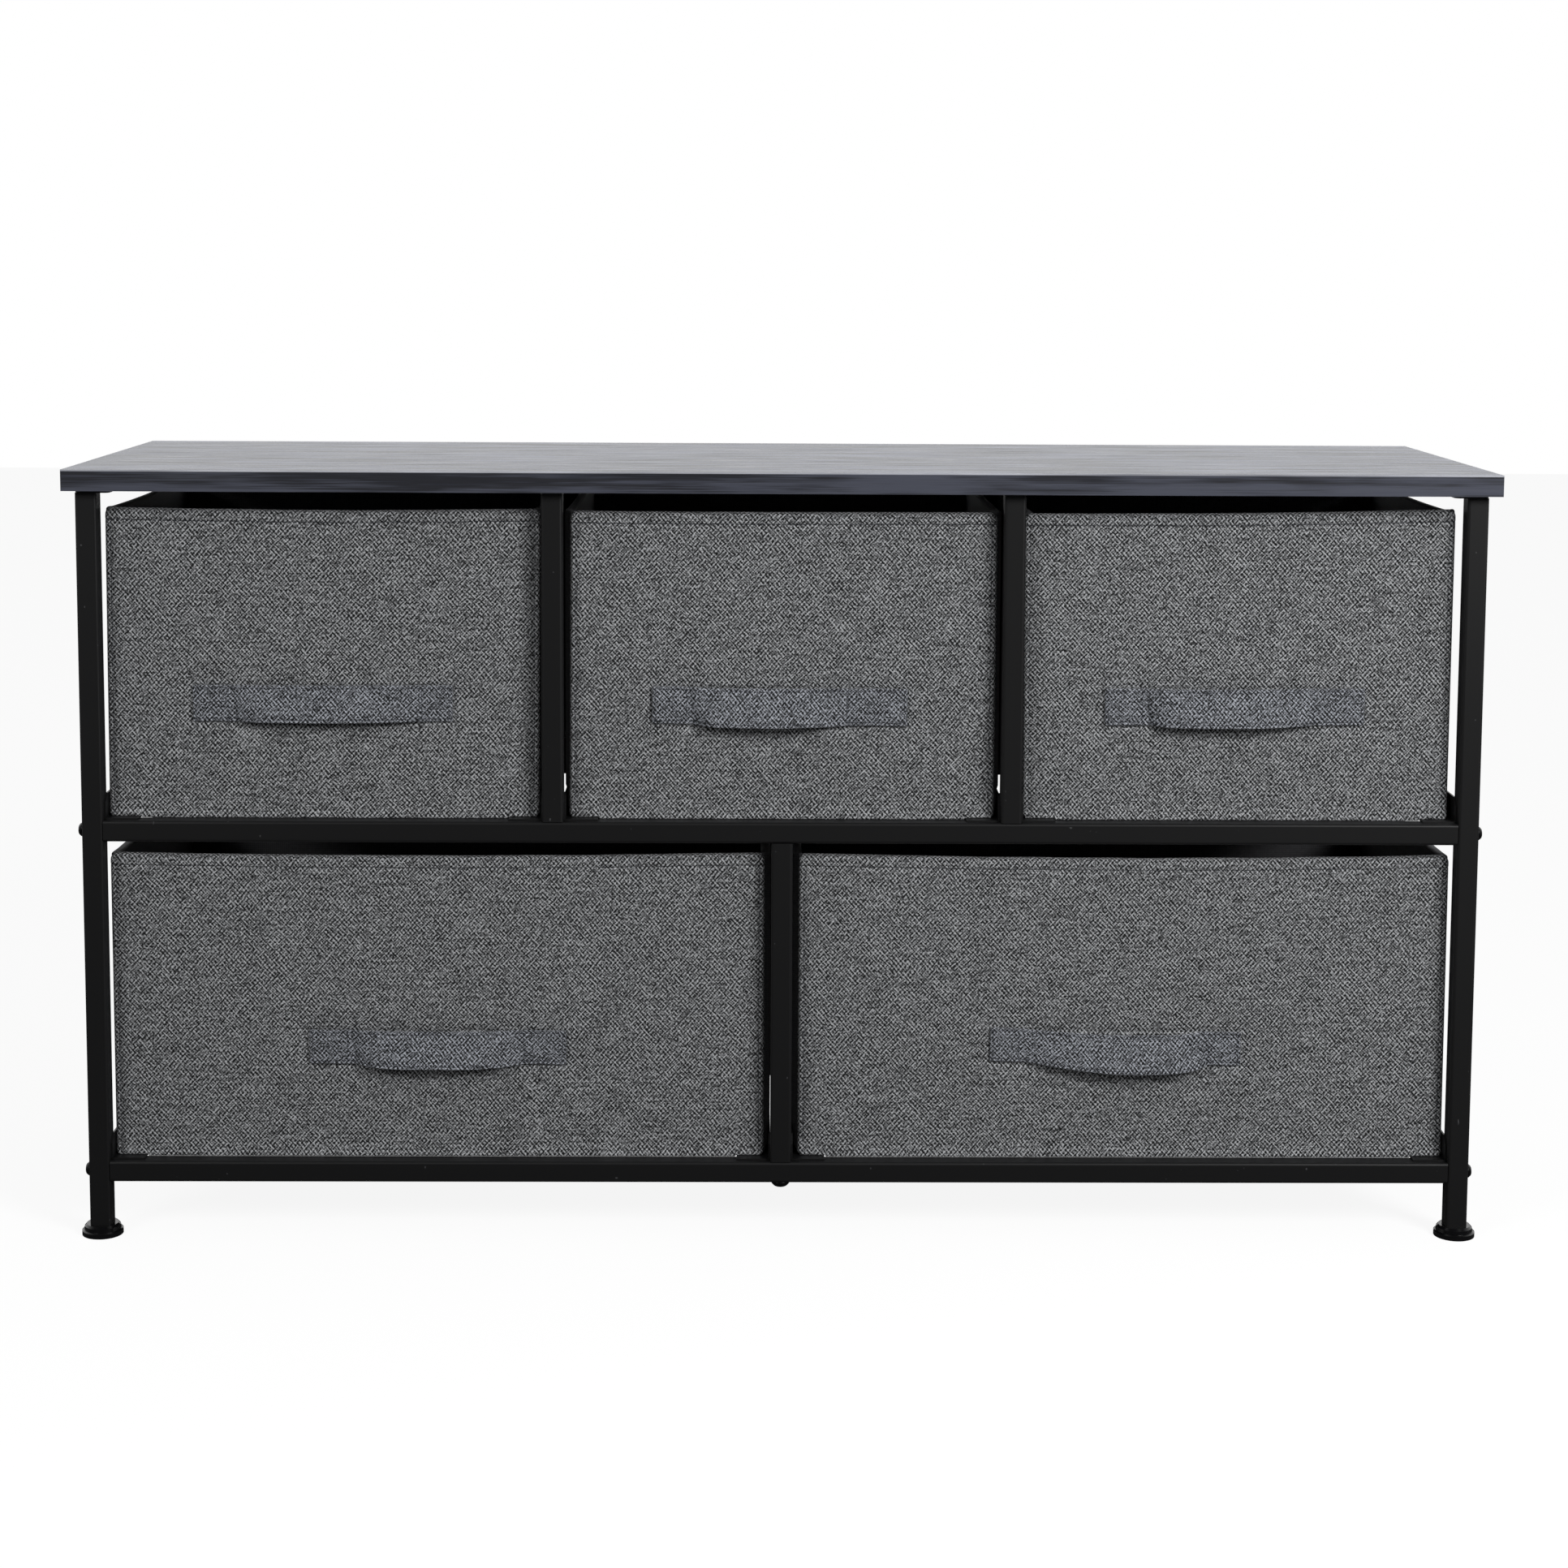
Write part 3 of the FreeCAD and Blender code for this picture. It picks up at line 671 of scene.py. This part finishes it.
def bump(distance, half):
    """1 at no distance, falling smoothly to 0 at half."""
    share = min(abs(distance) / half, 1)
    return (1 - share * share) ** 2


def eased(value, start, end):
    """0 up to start, 1 from end on, and smooth between."""
    share = min(max((value - start) / (end - start), 0), 1)
    return share * share * (3 - 2 * share)


def lean(make, across, upward):
    """How far the cover stands to the right of its place there."""
    left, right = (low + (top - low) * upward for top, low in (make["left"], make["right"]))
    return (left + (right - left) * across) * MM


def crown(make, across):
    """How far its top edge stands above its place there, on a curve through three heights."""
    left, centre, right = make["top"]
    from_left = left * (1 - across) * (1 - 2 * across)
    from_centre = 4 * centre * across * (1 - across)
    from_right = right * across * (2 * across - 1)
    return (from_left + from_centre + from_right) * MM


def lip(low, high, x):
    """How far the bottom hangs there. It sits on the runners, and is slack between them."""
    return SIT_DROP + (LIP_DROP - SIT_DROP) * eased(min(x - low.x, high.x - x), LIP_START, LIP_END)


def squared(x, z, corner_x, inward, corner_z, up, radius, share=1):
    """Moves a point near a sharp corner onto its rounded one. A share under 0 squares a round one."""
    aside = radius - (x - corner_x) * inward
    away = radius - (z - corner_z) * up
    if aside <= 0 or away <= 0:
        return x, z
    reach = 1 + (max(aside, away) / math.hypot(aside, away) - 1) * share
    return corner_x + inward * (radius - aside * reach), corner_z + up * (radius - away * reach)


def settled(name):
    """Corners of the place where a strap is sewn, from the frame and its own settling."""
    low, high = (corner.copy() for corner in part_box(f"{name}_drawer_handle"))
    strap = STRAPS[name]
    rise = sum(strap["rise"]) / 2 * MM
    spare = (high.z - low.z) * (1 - strap["narrow"]) / 2
    low.x, high.x = low.x + strap["ends"][0] * MM, high.x + strap["ends"][1] * MM
    low.z, high.z = low.z + rise + spare, high.z + rise - spare
    return low, high


def off_edge(x, z, low, high):
    """Distance of a point on the front from a box's outline, negative inside it."""
    aside = max(low.x - x, x - high.x)
    away = max(low.z - z, z - high.z)
    return max(aside, away) if max(aside, away) < 0 else math.hypot(max(aside, 0), max(away, 0))


def front_shape(low, high, make, handle):
    """How the cover hangs on its board: corners, seams, hem, sag, slow waves and the sewn strap."""
    hem = high.z - HEM_DROP

    def shape(point):
        x, y, z = point
        for corner_x, inward in ((low.x, 1), (high.x, -1)):
            x, z = squared(x, z, corner_x, inward, high.z, -1, TOP_CORNER)
            x, z = squared(x, z, corner_x, inward, low.z, 1, BOTTOM_CORNER)
        y, z = squared(y, z, low.y, 1, low.z, 1, COVER_EDGE, CRISP_SHARE)
        across = (x - low.x) / (high.x - low.x)
        upward = (z - low.z) / (high.z - low.z)
        face = max(0.0, 1 - (y - low.y) / FRONT_WALL)
        slow = noise.noise(Vector((x * SLOW_RATE, z * SLOW_RATE, make["seed"])))
        quick = noise.noise(Vector((x * QUICK_RATE, z * QUICK_RATE, make["seed"] + 9)))
        belly = math.sin(math.pi * across) * math.sin(math.pi * upward)
        swell = CLOTH_SWELL * (1 + belly) + CLOTH_WAVE * (slow + QUICK_SHARE * quick)
        off_strap = off_edge(x, z, *handle)
        swell *= eased(off_strap, 0, STRAP_HOLD)
        swell -= PRESS_DEPTH * bump(off_strap, PRESS_HALF)
        if z > hem:
            swell += HEM_SWELL
        swell -= HEM_ROLL * eased(z, high.z - BOARD_TOP, high.z + COVER_EDGE)
        swell -= SEAM_DEPTH * bump(z - hem, SEAM_HALF)
        for seam in (low.x + SEAM_INSET, high.x - SEAM_INSET):
            if z < hem:
                swell -= SIDE_SEAM_SHARE * SEAM_DEPTH * bump(x - seam, SEAM_HALF)
        y -= swell * face * eased(z, low.z, low.z + 2 * COVER_EDGE)
        y -= BOTTOM_ROLL * face * (1 - eased(z, low.z, low.z + BOTTOM_RISE))
        top_wave = TOP_WAVE * noise.noise(Vector((x * TOP_RATE, make["seed"], 0)))
        z += (crown(make, across) + top_wave) * upward
        x += lean(make, across, upward)
        z -= lip(low, high, x) * (1 - upward)
        return Vector((x, y, z))

    return shape


def drawer_box(name):
    """Corners of a drawer's cloth, from the frame."""
    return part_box(f"{name}_drawer_cloth")


def front_cover(name, make):
    """The woven front. Its inner face below the hem is lined with felt."""
    low, high = (corner.copy() for corner in drawer_box(name))
    high.y = low.y + FRONT_WALL
    hem = high.z - HEM_DROP

    def choose(axis, side, point):
        return 1 if axis == 1 and side == 1 and point.z < hem else 0

    seams = [low.x + SEAM_INSET + at for at in (-SEAM_HALF, 0, SEAM_HALF)]
    seams += [high.x - SEAM_INSET + at for at in (-SEAM_HALF, 0, SEAM_HALF)]
    for at in (LIP_START, (LIP_START + LIP_END) / 2, LIP_END):
        seams += [low.x + at - make["left"][1] * MM, high.x - at - make["right"][1] * MM]
    hems = [hem + at for at in (-SEAM_HALF, -SEAM_HALF / 2, 0, SEAM_HALF / 2, SEAM_HALF)]
    hems += [high.z - at for at in ROLL_LINES]
    handle = settled(name)
    for corner in handle:
        seams += [corner.x + at for at in (-PRESS_HALF, -PRESS_HALF / 2, 0, PRESS_HALF / 2, PRESS_HALF)]
        hems += [corner.z + at for at in (-PRESS_HALF, -PRESS_HALF / 2, 0, PRESS_HALF / 2, PRESS_HALF)]
    shape = front_shape(low, high, make, handle)
    cover = slab(
        f"{name}_drawer_front_cover", low, high, COVER_EDGE, COVER_STEP, shape, (weave, felt), choose,
        (seams, (), hems),
    )
    return cover, shape


# ---- Drawer walls ----
# Felt bags over the side boards, with a plain felt back and bottom sewn between them. The back
# has no board, so its top edge hangs in a shallow curve. Each spread is a reach and two heights.
SIDE_WALL = 4.4 * MM
SIDE_EDGE = 2.0 * MM
BACK_WALL = 1.6 * MM
BACK_EDGE = 0.75 * MM
BOTTOM_WALL = 1.4 * MM
BOTTOM_EDGE = 0.65 * MM
WALL_STEP = 8 * MM
LEG_RUN = 25 * MM
POST_RUN = 8 * MM
LEG_REACH = 400 * MM
SPREADS = ((2.05 * MM, 1 * MM, 6 * MM), (1.35 * MM, 17 * MM, 21 * MM))
SIDE_WAVE = 0.1 * MM
LINING_SHARE = 0.3
SIDE_SAG = 1.5 * MM
BACK_DROP = 1 * MM
BACK_SAG = 4 * MM
BACK_WAVE = 2.5 * MM
BACK_BULGE = 0.6
SIDE_RATE = 14
BACK_RATE = 9


def joined(name, pieces):
    """Several pieces as one object."""
    with bpy.context.temp_override(active_object=pieces[0], selected_editable_objects=pieces):
        bpy.ops.object.join()
    pieces[0].name = name
    return pieces[0]


def spread(rise):
    """How far a side stands out at that height: up to the runner's edge, then to the posts."""
    return sum(reach * eased(rise, start, end) for reach, start, end in SPREADS)


def drawer_walls(name, make):
    """Sides, back and bottom of one drawer."""
    low, high = drawer_box(name)
    height, depth = high.z - low.z, high.y - low.y
    front = low.y + FRONT_WALL - COVER_EDGE
    rises = [low.z + start + (end - start) * part for _, start, end in SPREADS for part in (0, 0.5, 1)]
    walls = []
    for outward, inner, outer in ((-1, low.x + SIDE_WALL, low.x), (1, high.x - SIDE_WALL, high.x)):
        run = LEG_RUN if abs(outer) > LEG_REACH else POST_RUN

        def hang(point, outward=outward, run=run):
            x, y, z = point
            upward, along = (z - low.z) / height, (y - low.y) / depth
            away = eased(y, front, front + run)
            side = (1 + outward) / 2
            moved = lean(make, side, upward) * (1 - away) + outward * spread(z - low.z) * away
            skin = abs(x - (high.x - SIDE_WALL if side else low.x + SIDE_WALL)) / SIDE_WALL
            x += moved * (LINING_SHARE + (1 - LINING_SHARE) * skin)
            x += SIDE_WAVE * noise.noise(Vector((y * SIDE_RATE, z * SIDE_RATE, make["seed"] + outward)))
            z += (crown(make, side) * (1 - away) - SIDE_SAG * math.sin(math.pi * along)) * upward
            return Vector((x, y, z))

        corners = [(min(inner, outer), front, low.z), (max(inner, outer), high.y, high.z)]
        runs = [front + run * part for part in (0.25, 0.5, 0.75, 1)]
        walls.append(
            slab(
                f"{name}_side", *[Vector(c) for c in corners], SIDE_EDGE, WALL_STEP, hang, (felt,), None,
                ((), runs, rises),
            )
        )

    def drape(point):
        x, y, z = point
        upward, across = (z - low.z) / height, (x - low.x) / (high.x - low.x)
        belly = math.sin(math.pi * across)
        x += (2 * across - 1) * spread(z - low.z)
        wave = noise.noise(Vector((x * BACK_RATE, z * BACK_RATE, make["seed"] + 4)))
        y -= BACK_WAVE * belly * upward * (BACK_BULGE + wave)
        z -= BACK_SAG * belly * upward ** 3
        return Vector((x, y, z))

    back = [
        Vector((low.x + SIDE_EDGE, high.y - BACK_WALL, low.z)),
        Vector((high.x - SIDE_EDGE, high.y, high.z - BACK_DROP)),
    ]
    walls.append(slab(f"{name}_back", *back, BACK_EDGE, WALL_STEP, drape, (felt,), None, ((), (), rises)))

    def droop(point):
        x, y, z = point
        return Vector((x, y, z - lip(low, high, x)))

    bottom = [
        Vector((low.x + SIDE_EDGE, front, low.z)),
        Vector((high.x - SIDE_EDGE, high.y, low.z + BOTTOM_WALL)),
    ]
    lips = [edge for at in (LIP_START, LIP_END) for edge in (low.x + at, high.x - at)]
    walls.append(
        slab(f"{name}_bottom", *bottom, BOTTOM_EDGE, 3 * WALL_STEP, droop, (felt,), None, (lips, (), ()))
    )
    return joined(f"{name}_drawer_walls", walls)


# ---- Drawer handles ----
# A flat strap, a little bluer than the front's cloth, with both edges turned in and sewn. Its ends
# are sewn down, and the slack between them bows out. Each one has settled a little differently.
STRAP_THICKNESS = 2 * MM
STRAP_EDGE = 0.9 * MM
STRAP_STEP = 3 * MM
STRAP_SEAM = 2.3 * MM
DIMPLE_DEPTH = 0.3 * MM
DIMPLE_HALF = 0.9 * MM
STRAP_RIPPLE = 0.3 * MM
STRAP_WAVE = 0.25 * MM
FOLD_SLANT = 4 * MM
DROOP_TILT = 0.3
RIPPLE_RATE = 30
WAVE_RATE = 60


def strap_shape(low, high, strap, seed):
    """How far the strap stands off and droops, along its length and across it."""
    length, width = high.x - low.x, high.z - low.z
    left, right = (tab * MM for tab in strap["tabs"])
    first, last = (end * MM for end in strap["ends"])

    def shape(point):
        x, y, z = point
        along, upward = (x - low.x) / length, (z - low.z) / width
        outer = min(max((high.y - y) / (high.y - low.y), 0), 1)
        slant = FOLD_SLANT * (0.5 - upward)
        start, end = low.x + left + slant, high.x - right + slant
        free = 2 * min(max((x - start) / (end - start), 0), 1) - 1
        rise = 1 - abs(free) ** strap["steep"][0 if free < 0 else 1]
        y -= strap["bow"] * MM * rise * (1 - STRAP_TILT * upward)
        z = low.z + width * (0.5 + (upward - 0.5) * strap["narrow"])
        z -= strap["droop"] * MM * rise * (1 - DROOP_TILT * upward)
        z += STRAP_RIPPLE * noise.noise(Vector((x * RIPPLE_RATE, seed, 1)))
        y -= STRAP_WAVE * noise.noise(Vector((x * WAVE_RATE, z * WAVE_RATE, seed)))
        for at, depth, half in strap["creases"]:
            y += depth * MM * outer * bump(x - low.x - at * MM - slant, half * MM)
        for seam in (low.z + STRAP_SEAM, high.z - STRAP_SEAM):
            y += DIMPLE_DEPTH * bump(point.z - seam, DIMPLE_HALF)
        z += (strap["rise"][0] + (strap["rise"][1] - strap["rise"][0]) * along) * MM
        return Vector((x + first + (last - first) * along, y, z))

    return shape


def handle_strap(name):
    """The strap of one drawer, without its threads."""
    box_low, box_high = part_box(f"{name}_drawer_handle")
    low = Vector((box_low.x, box_high.y - STRAP_THICKNESS, box_low.z))
    seams = []
    for seam in (low.z + STRAP_SEAM, box_high.z - STRAP_SEAM):
        seams += [seam + DIMPLE_HALF * share for share in (-1, -0.5, 0, 0.5, 1)]
    shape = strap_shape(low, box_high, STRAPS[name], MAKES[name]["seed"])
    folds = []
    for place, _, _ in STRAPS[name]["creases"]:
        folds += [low.x + (place + at) * MM for at in range(-3, 4)]
    return slab(
        f"{name}_drawer_strap", low, box_high, STRAP_EDGE, STRAP_STEP, shape, (strap_weave,), None,
        (folds, (), seams),
    ), shape


# ---- Drawer stitching ----
# Dark grey polyester lockstitch along the hems, the side seams and round the straps.
THREAD_DARK = "#24262d"
THREAD_GREY = "#41444e"
STITCH_SPACING = 3.6 * MM
STITCH_LENGTH = 2.9 * MM
THREAD_THICKNESS = 0.5 * MM
SEAM_SAMPLE = 2.5 * MM
SEAM_STOP = 2 * MM
SEAM_FOOT = 3 * MM
TAB_STOP = 1 * MM
TAB_SHORT = (4, 2)
THREAD_RAISE = 0.1 * MM
TWIST_SIZE = 1 / 1500

thread_finish, tree, surface = new_finish("grey polyester thread", Roughness=0.6)
place = add_node(tree, "ShaderNodeTexCoord").outputs["Object"]
twist = add_node(tree, "ShaderNodeTexNoise", {"Vector": place, "Scale": 1 / TWIST_SIZE, "Detail": 1.0})
blend(tree, surface, twist.outputs["Fac"], THREAD_DARK, THREAD_GREY)


def stitch_tree():
    """Lays a short thread at even spacing along every edge of the base."""
    inputs = {
        "Spacing": "NodeSocketFloat", "Length": "NodeSocketFloat", "Thickness": "NodeSocketFloat",
        "Thread": "NodeSocketMaterial",
    }
    tree, given, result = new_tree("stitches_along_seams", inputs)
    line = add_node(tree, "GeometryNodeMeshToCurve", {"Mesh": given["Geometry"]})
    spaced = add_node(
        tree, "GeometryNodeResampleCurve", {"Curve": line.outputs["Curve"], "Length": given["Spacing"]},
        mode="LENGTH",
    )
    along = add_node(tree, "GeometryNodeInputTangent")
    turn = add_node(tree, "FunctionNodeAlignRotationToVector", {"Vector": along.outputs["Tangent"]}, axis="X")
    grain = add_node(tree, "GeometryNodeMeshUVSphere", {"Segments": 8, "Rings": 5, "Radius": 0.5})
    size = add_node(
        tree, "ShaderNodeCombineXYZ",
        {"X": given["Length"], "Y": given["Thickness"], "Z": given["Thickness"]},
    )
    placed = add_node(
        tree, "GeometryNodeInstanceOnPoints",
        {
            "Points": spaced.outputs["Curve"], "Instance": grain.outputs["Mesh"],
            "Rotation": turn.outputs["Rotation"], "Scale": size.outputs["Vector"],
        },
    )
    solid = add_node(tree, "GeometryNodeRealizeInstances", {"Geometry": placed.outputs["Instances"]})
    smooth = add_node(tree, "GeometryNodeSetShadeSmooth", {"Geometry": solid.outputs["Geometry"]})
    finished = add_node(
        tree, "GeometryNodeSetMaterial",
        {"Geometry": smooth.outputs["Geometry"], "Material": given["Thread"]},
    )
    tree.links.new(finished.outputs["Geometry"], result["Geometry"])
    return tree


def seam_runs(name):
    """Start and end of each straight seam on the flat front, and on the flat strap."""
    low, high = drawer_box(name)
    hem = high.z - HEM_DROP
    left, right = low.x + SEAM_INSET, high.x - SEAM_INSET
    cover = [((low.x + SEAM_STOP, hem), (high.x - SEAM_STOP, hem))]
    cover += [((x, low.z + SEAM_FOOT), (x, hem - SEAM_STOP)) for x in (left, right)]
    low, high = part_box(f"{name}_drawer_handle")
    edges = (low.z + STRAP_SEAM, high.z - STRAP_SEAM)
    strap = [((low.x + SEAM_STOP, z), (high.x - SEAM_STOP, z)) for z in edges]
    left, right = (tab - short for tab, short in zip(STRAPS[name]["tabs"], TAB_SHORT))
    tabs = (low.x + STRAP_SEAM, low.x + left * MM, high.x - right * MM, high.x - STRAP_SEAM)
    strap += [((x, edges[0] + TAB_STOP), (x, edges[1] - TAB_STOP)) for x in tabs]
    return cover, strap


def stitching(name, shapes, tree):
    """Every stitch on one drawer, laid on the shaped cloth."""
    low, _ = drawer_box(name)
    points, edges = [], []
    for runs, shape, face in zip(seam_runs(name), shapes, (low.y, low.y - STRAP_THICKNESS)):
        for (x_start, z_start), (x_end, z_end) in runs:
            count = max(2, round(math.hypot(x_end - x_start, z_end - z_start) / SEAM_SAMPLE))
            for step in range(count + 1):
                part = step / count
                flat = Vector((x_start + (x_end - x_start) * part, face, z_start + (z_end - z_start) * part))
                if step:
                    edges.append((len(points) - 1, len(points)))
                points.append(shape(flat) - Vector((0, THREAD_RAISE, 0)))
    base = new_mesh(f"{name}_drawer_stitches", points, [])
    base.data.clear_geometry()
    base.data.from_pydata(points, edges, [])
    return grown(
        base, tree,
        {
            "Spacing": STITCH_SPACING, "Length": STITCH_LENGTH, "Thickness": THREAD_THICKNESS,
            "Thread": thread_finish,
        },
    )


def declare_cloth(name, cover, strap):
    """Looks up the drawer's cloth box and its handle's box, and does nothing with them."""
    low, high = drawer_box(name)
    low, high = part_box(f"{name}_drawer_handle")


stitches = stitch_tree()
for name, make in MAKES.items():
    body = f"{name}_drawer"
    cover, cover_shape = front_cover(name, make)
    walls = drawer_walls(name, make)
    strap, shape_of_strap = handle_strap(name)
    threads = stitching(name, (cover_shape, shape_of_strap), stitches)
    for piece in (cover, walls, strap, threads):
        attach(piece, body)
    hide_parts(f"{body}_cloth")
    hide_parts(f"{body}_handle")
    declare_cloth(name, cover, strap)

# ---- Studio ----
# A white floor much wider than the dresser, white all round, and two soft lamps in front. The side
# behind the camera is dark in reflections, as a real studio is. Lamps have a place and watts.
FLOOR_SIZE = 14.0
FLOOR_LIFT = 0.9
AMBIENT = 0.22
BOUNCE = 0.2
LAMP_SIZE = 0.75
LAMP_AIM = (0, 0, 0.3)
LAMPS = {"left_softbox": (-1.7, -1.9, 1.4, 11.6), "right_softbox": (1.5, -1.8, 1.42, 29)}

bpy.ops.mesh.primitive_plane_add(size=FLOOR_SIZE)
floor = bpy.context.object
floor.name = "studio_floor"
paper, tree, surface = new_finish("white studio paper", Roughness=1.0)
surface.inputs["Specular IOR Level"].default_value = 0
path = add_node(tree, "ShaderNodeLightPath")
mirrored = add_node(
    tree, "ShaderNodeMix",
    {"Factor": path.outputs["Is Glossy Ray"], "A": (BOUNCE, BOUNCE, BOUNCE, 1), "B": (0.12, 0.12, 0.12, 1)},
    data_type="RGBA",
)
tree.links.new(mirrored.outputs["Result"], surface.inputs["Base Color"])
pale = add_node(tree, "ShaderNodeBsdfDiffuse", {"Color": (0.2, 0.2, 0.2, 1)})
lift = add_node(tree, "ShaderNodeEmission", {"Color": (1, 1, 1, 1), "Strength": FLOOR_LIFT})
bright = add_node(tree, "ShaderNodeAddShader", {0: pale.outputs[0], 1: lift.outputs[0]})
either = add_node(
    tree, "ShaderNodeMixShader",
    {0: path.outputs["Is Camera Ray"], 1: surface.outputs[0], 2: bright.outputs[0]},
)
tree.links.new(either.outputs[0], tree.nodes["Material Output"].inputs["Surface"])
floor.data.materials.append(paper)
floor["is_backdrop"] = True

world = bpy.data.worlds.new("white studio")
bpy.context.scene.world = world
world.use_nodes = True
sky = world.node_tree
sky.nodes.clear()
path = add_node(sky, "ShaderNodeLightPath")
around = add_node(sky, "ShaderNodeTexCoord").outputs["Generated"]
direction = add_node(sky, "ShaderNodeSeparateXYZ", {0: around})
mirrored = add_node(
    sky, "ShaderNodeMapRange",
    {"Value": direction.outputs["Y"], "From Min": -0.25, "From Max": 0.3, "To Min": 0.03, "To Max": 1.2},
)
light = add_node(
    sky, "ShaderNodeMix",
    {"Factor": path.outputs["Is Glossy Ray"], "A": AMBIENT, "B": mirrored.outputs["Result"]},
)
level = add_node(
    sky, "ShaderNodeMix", {"Factor": path.outputs["Is Camera Ray"], "A": light.outputs["Result"], "B": 1.0},
)
glow = add_node(sky, "ShaderNodeBackground", {"Color": (1, 1, 1, 1), "Strength": level.outputs["Result"]})
add_node(sky, "ShaderNodeOutputWorld", {"Surface": glow.outputs[0]})

for name, (*place, watts) in LAMPS.items():
    lamp = bpy.data.lights.new(name, "AREA")
    lamp.energy, lamp.size = watts, LAMP_SIZE
    softbox = bpy.data.objects.new(name, lamp)
    bpy.context.collection.objects.link(softbox)
    softbox.location = place
    softbox.rotation_euler = (Vector(LAMP_AIM) - softbox.location).to_track_quat("-Z", "Y").to_euler()

# ---- Camera ----
# A long lens about two metres in front and a little above the board, tipped down.
PICTURE = 1932
FOCAL_PIXELS = 3454.1
SENSOR = 36
EYE = (-19.9 * MM, -2085.2 * MM, 700.4 * MM)
PITCH, YAW, ROLL = (math.radians(angle) for angle in (6.032, 0.595, 0.287))
PRINCIPAL_HEIGHT = 678

camera = bpy.data.objects.new("camera", bpy.data.cameras.new("camera"))
bpy.context.collection.objects.link(camera)
bpy.context.scene.camera = camera
camera.data.sensor_width = SENSOR
camera.data.lens = FOCAL_PIXELS / PICTURE * SENSOR
camera.data.shift_y = (PRINCIPAL_HEIGHT - PICTURE / 2) / PICTURE
tip = Matrix.Rotation(math.pi / 2 - PITCH, 4, "X")
aim = Matrix.Rotation(-YAW, 4, "Z") @ tip @ Matrix.Rotation(ROLL, 4, "Z")
camera.matrix_world = Matrix.Translation(EYE) @ aim

bpy.context.scene.view_settings.view_transform = "Standard"
[[list(corner) for corner in box] for box in (cad_box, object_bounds())]
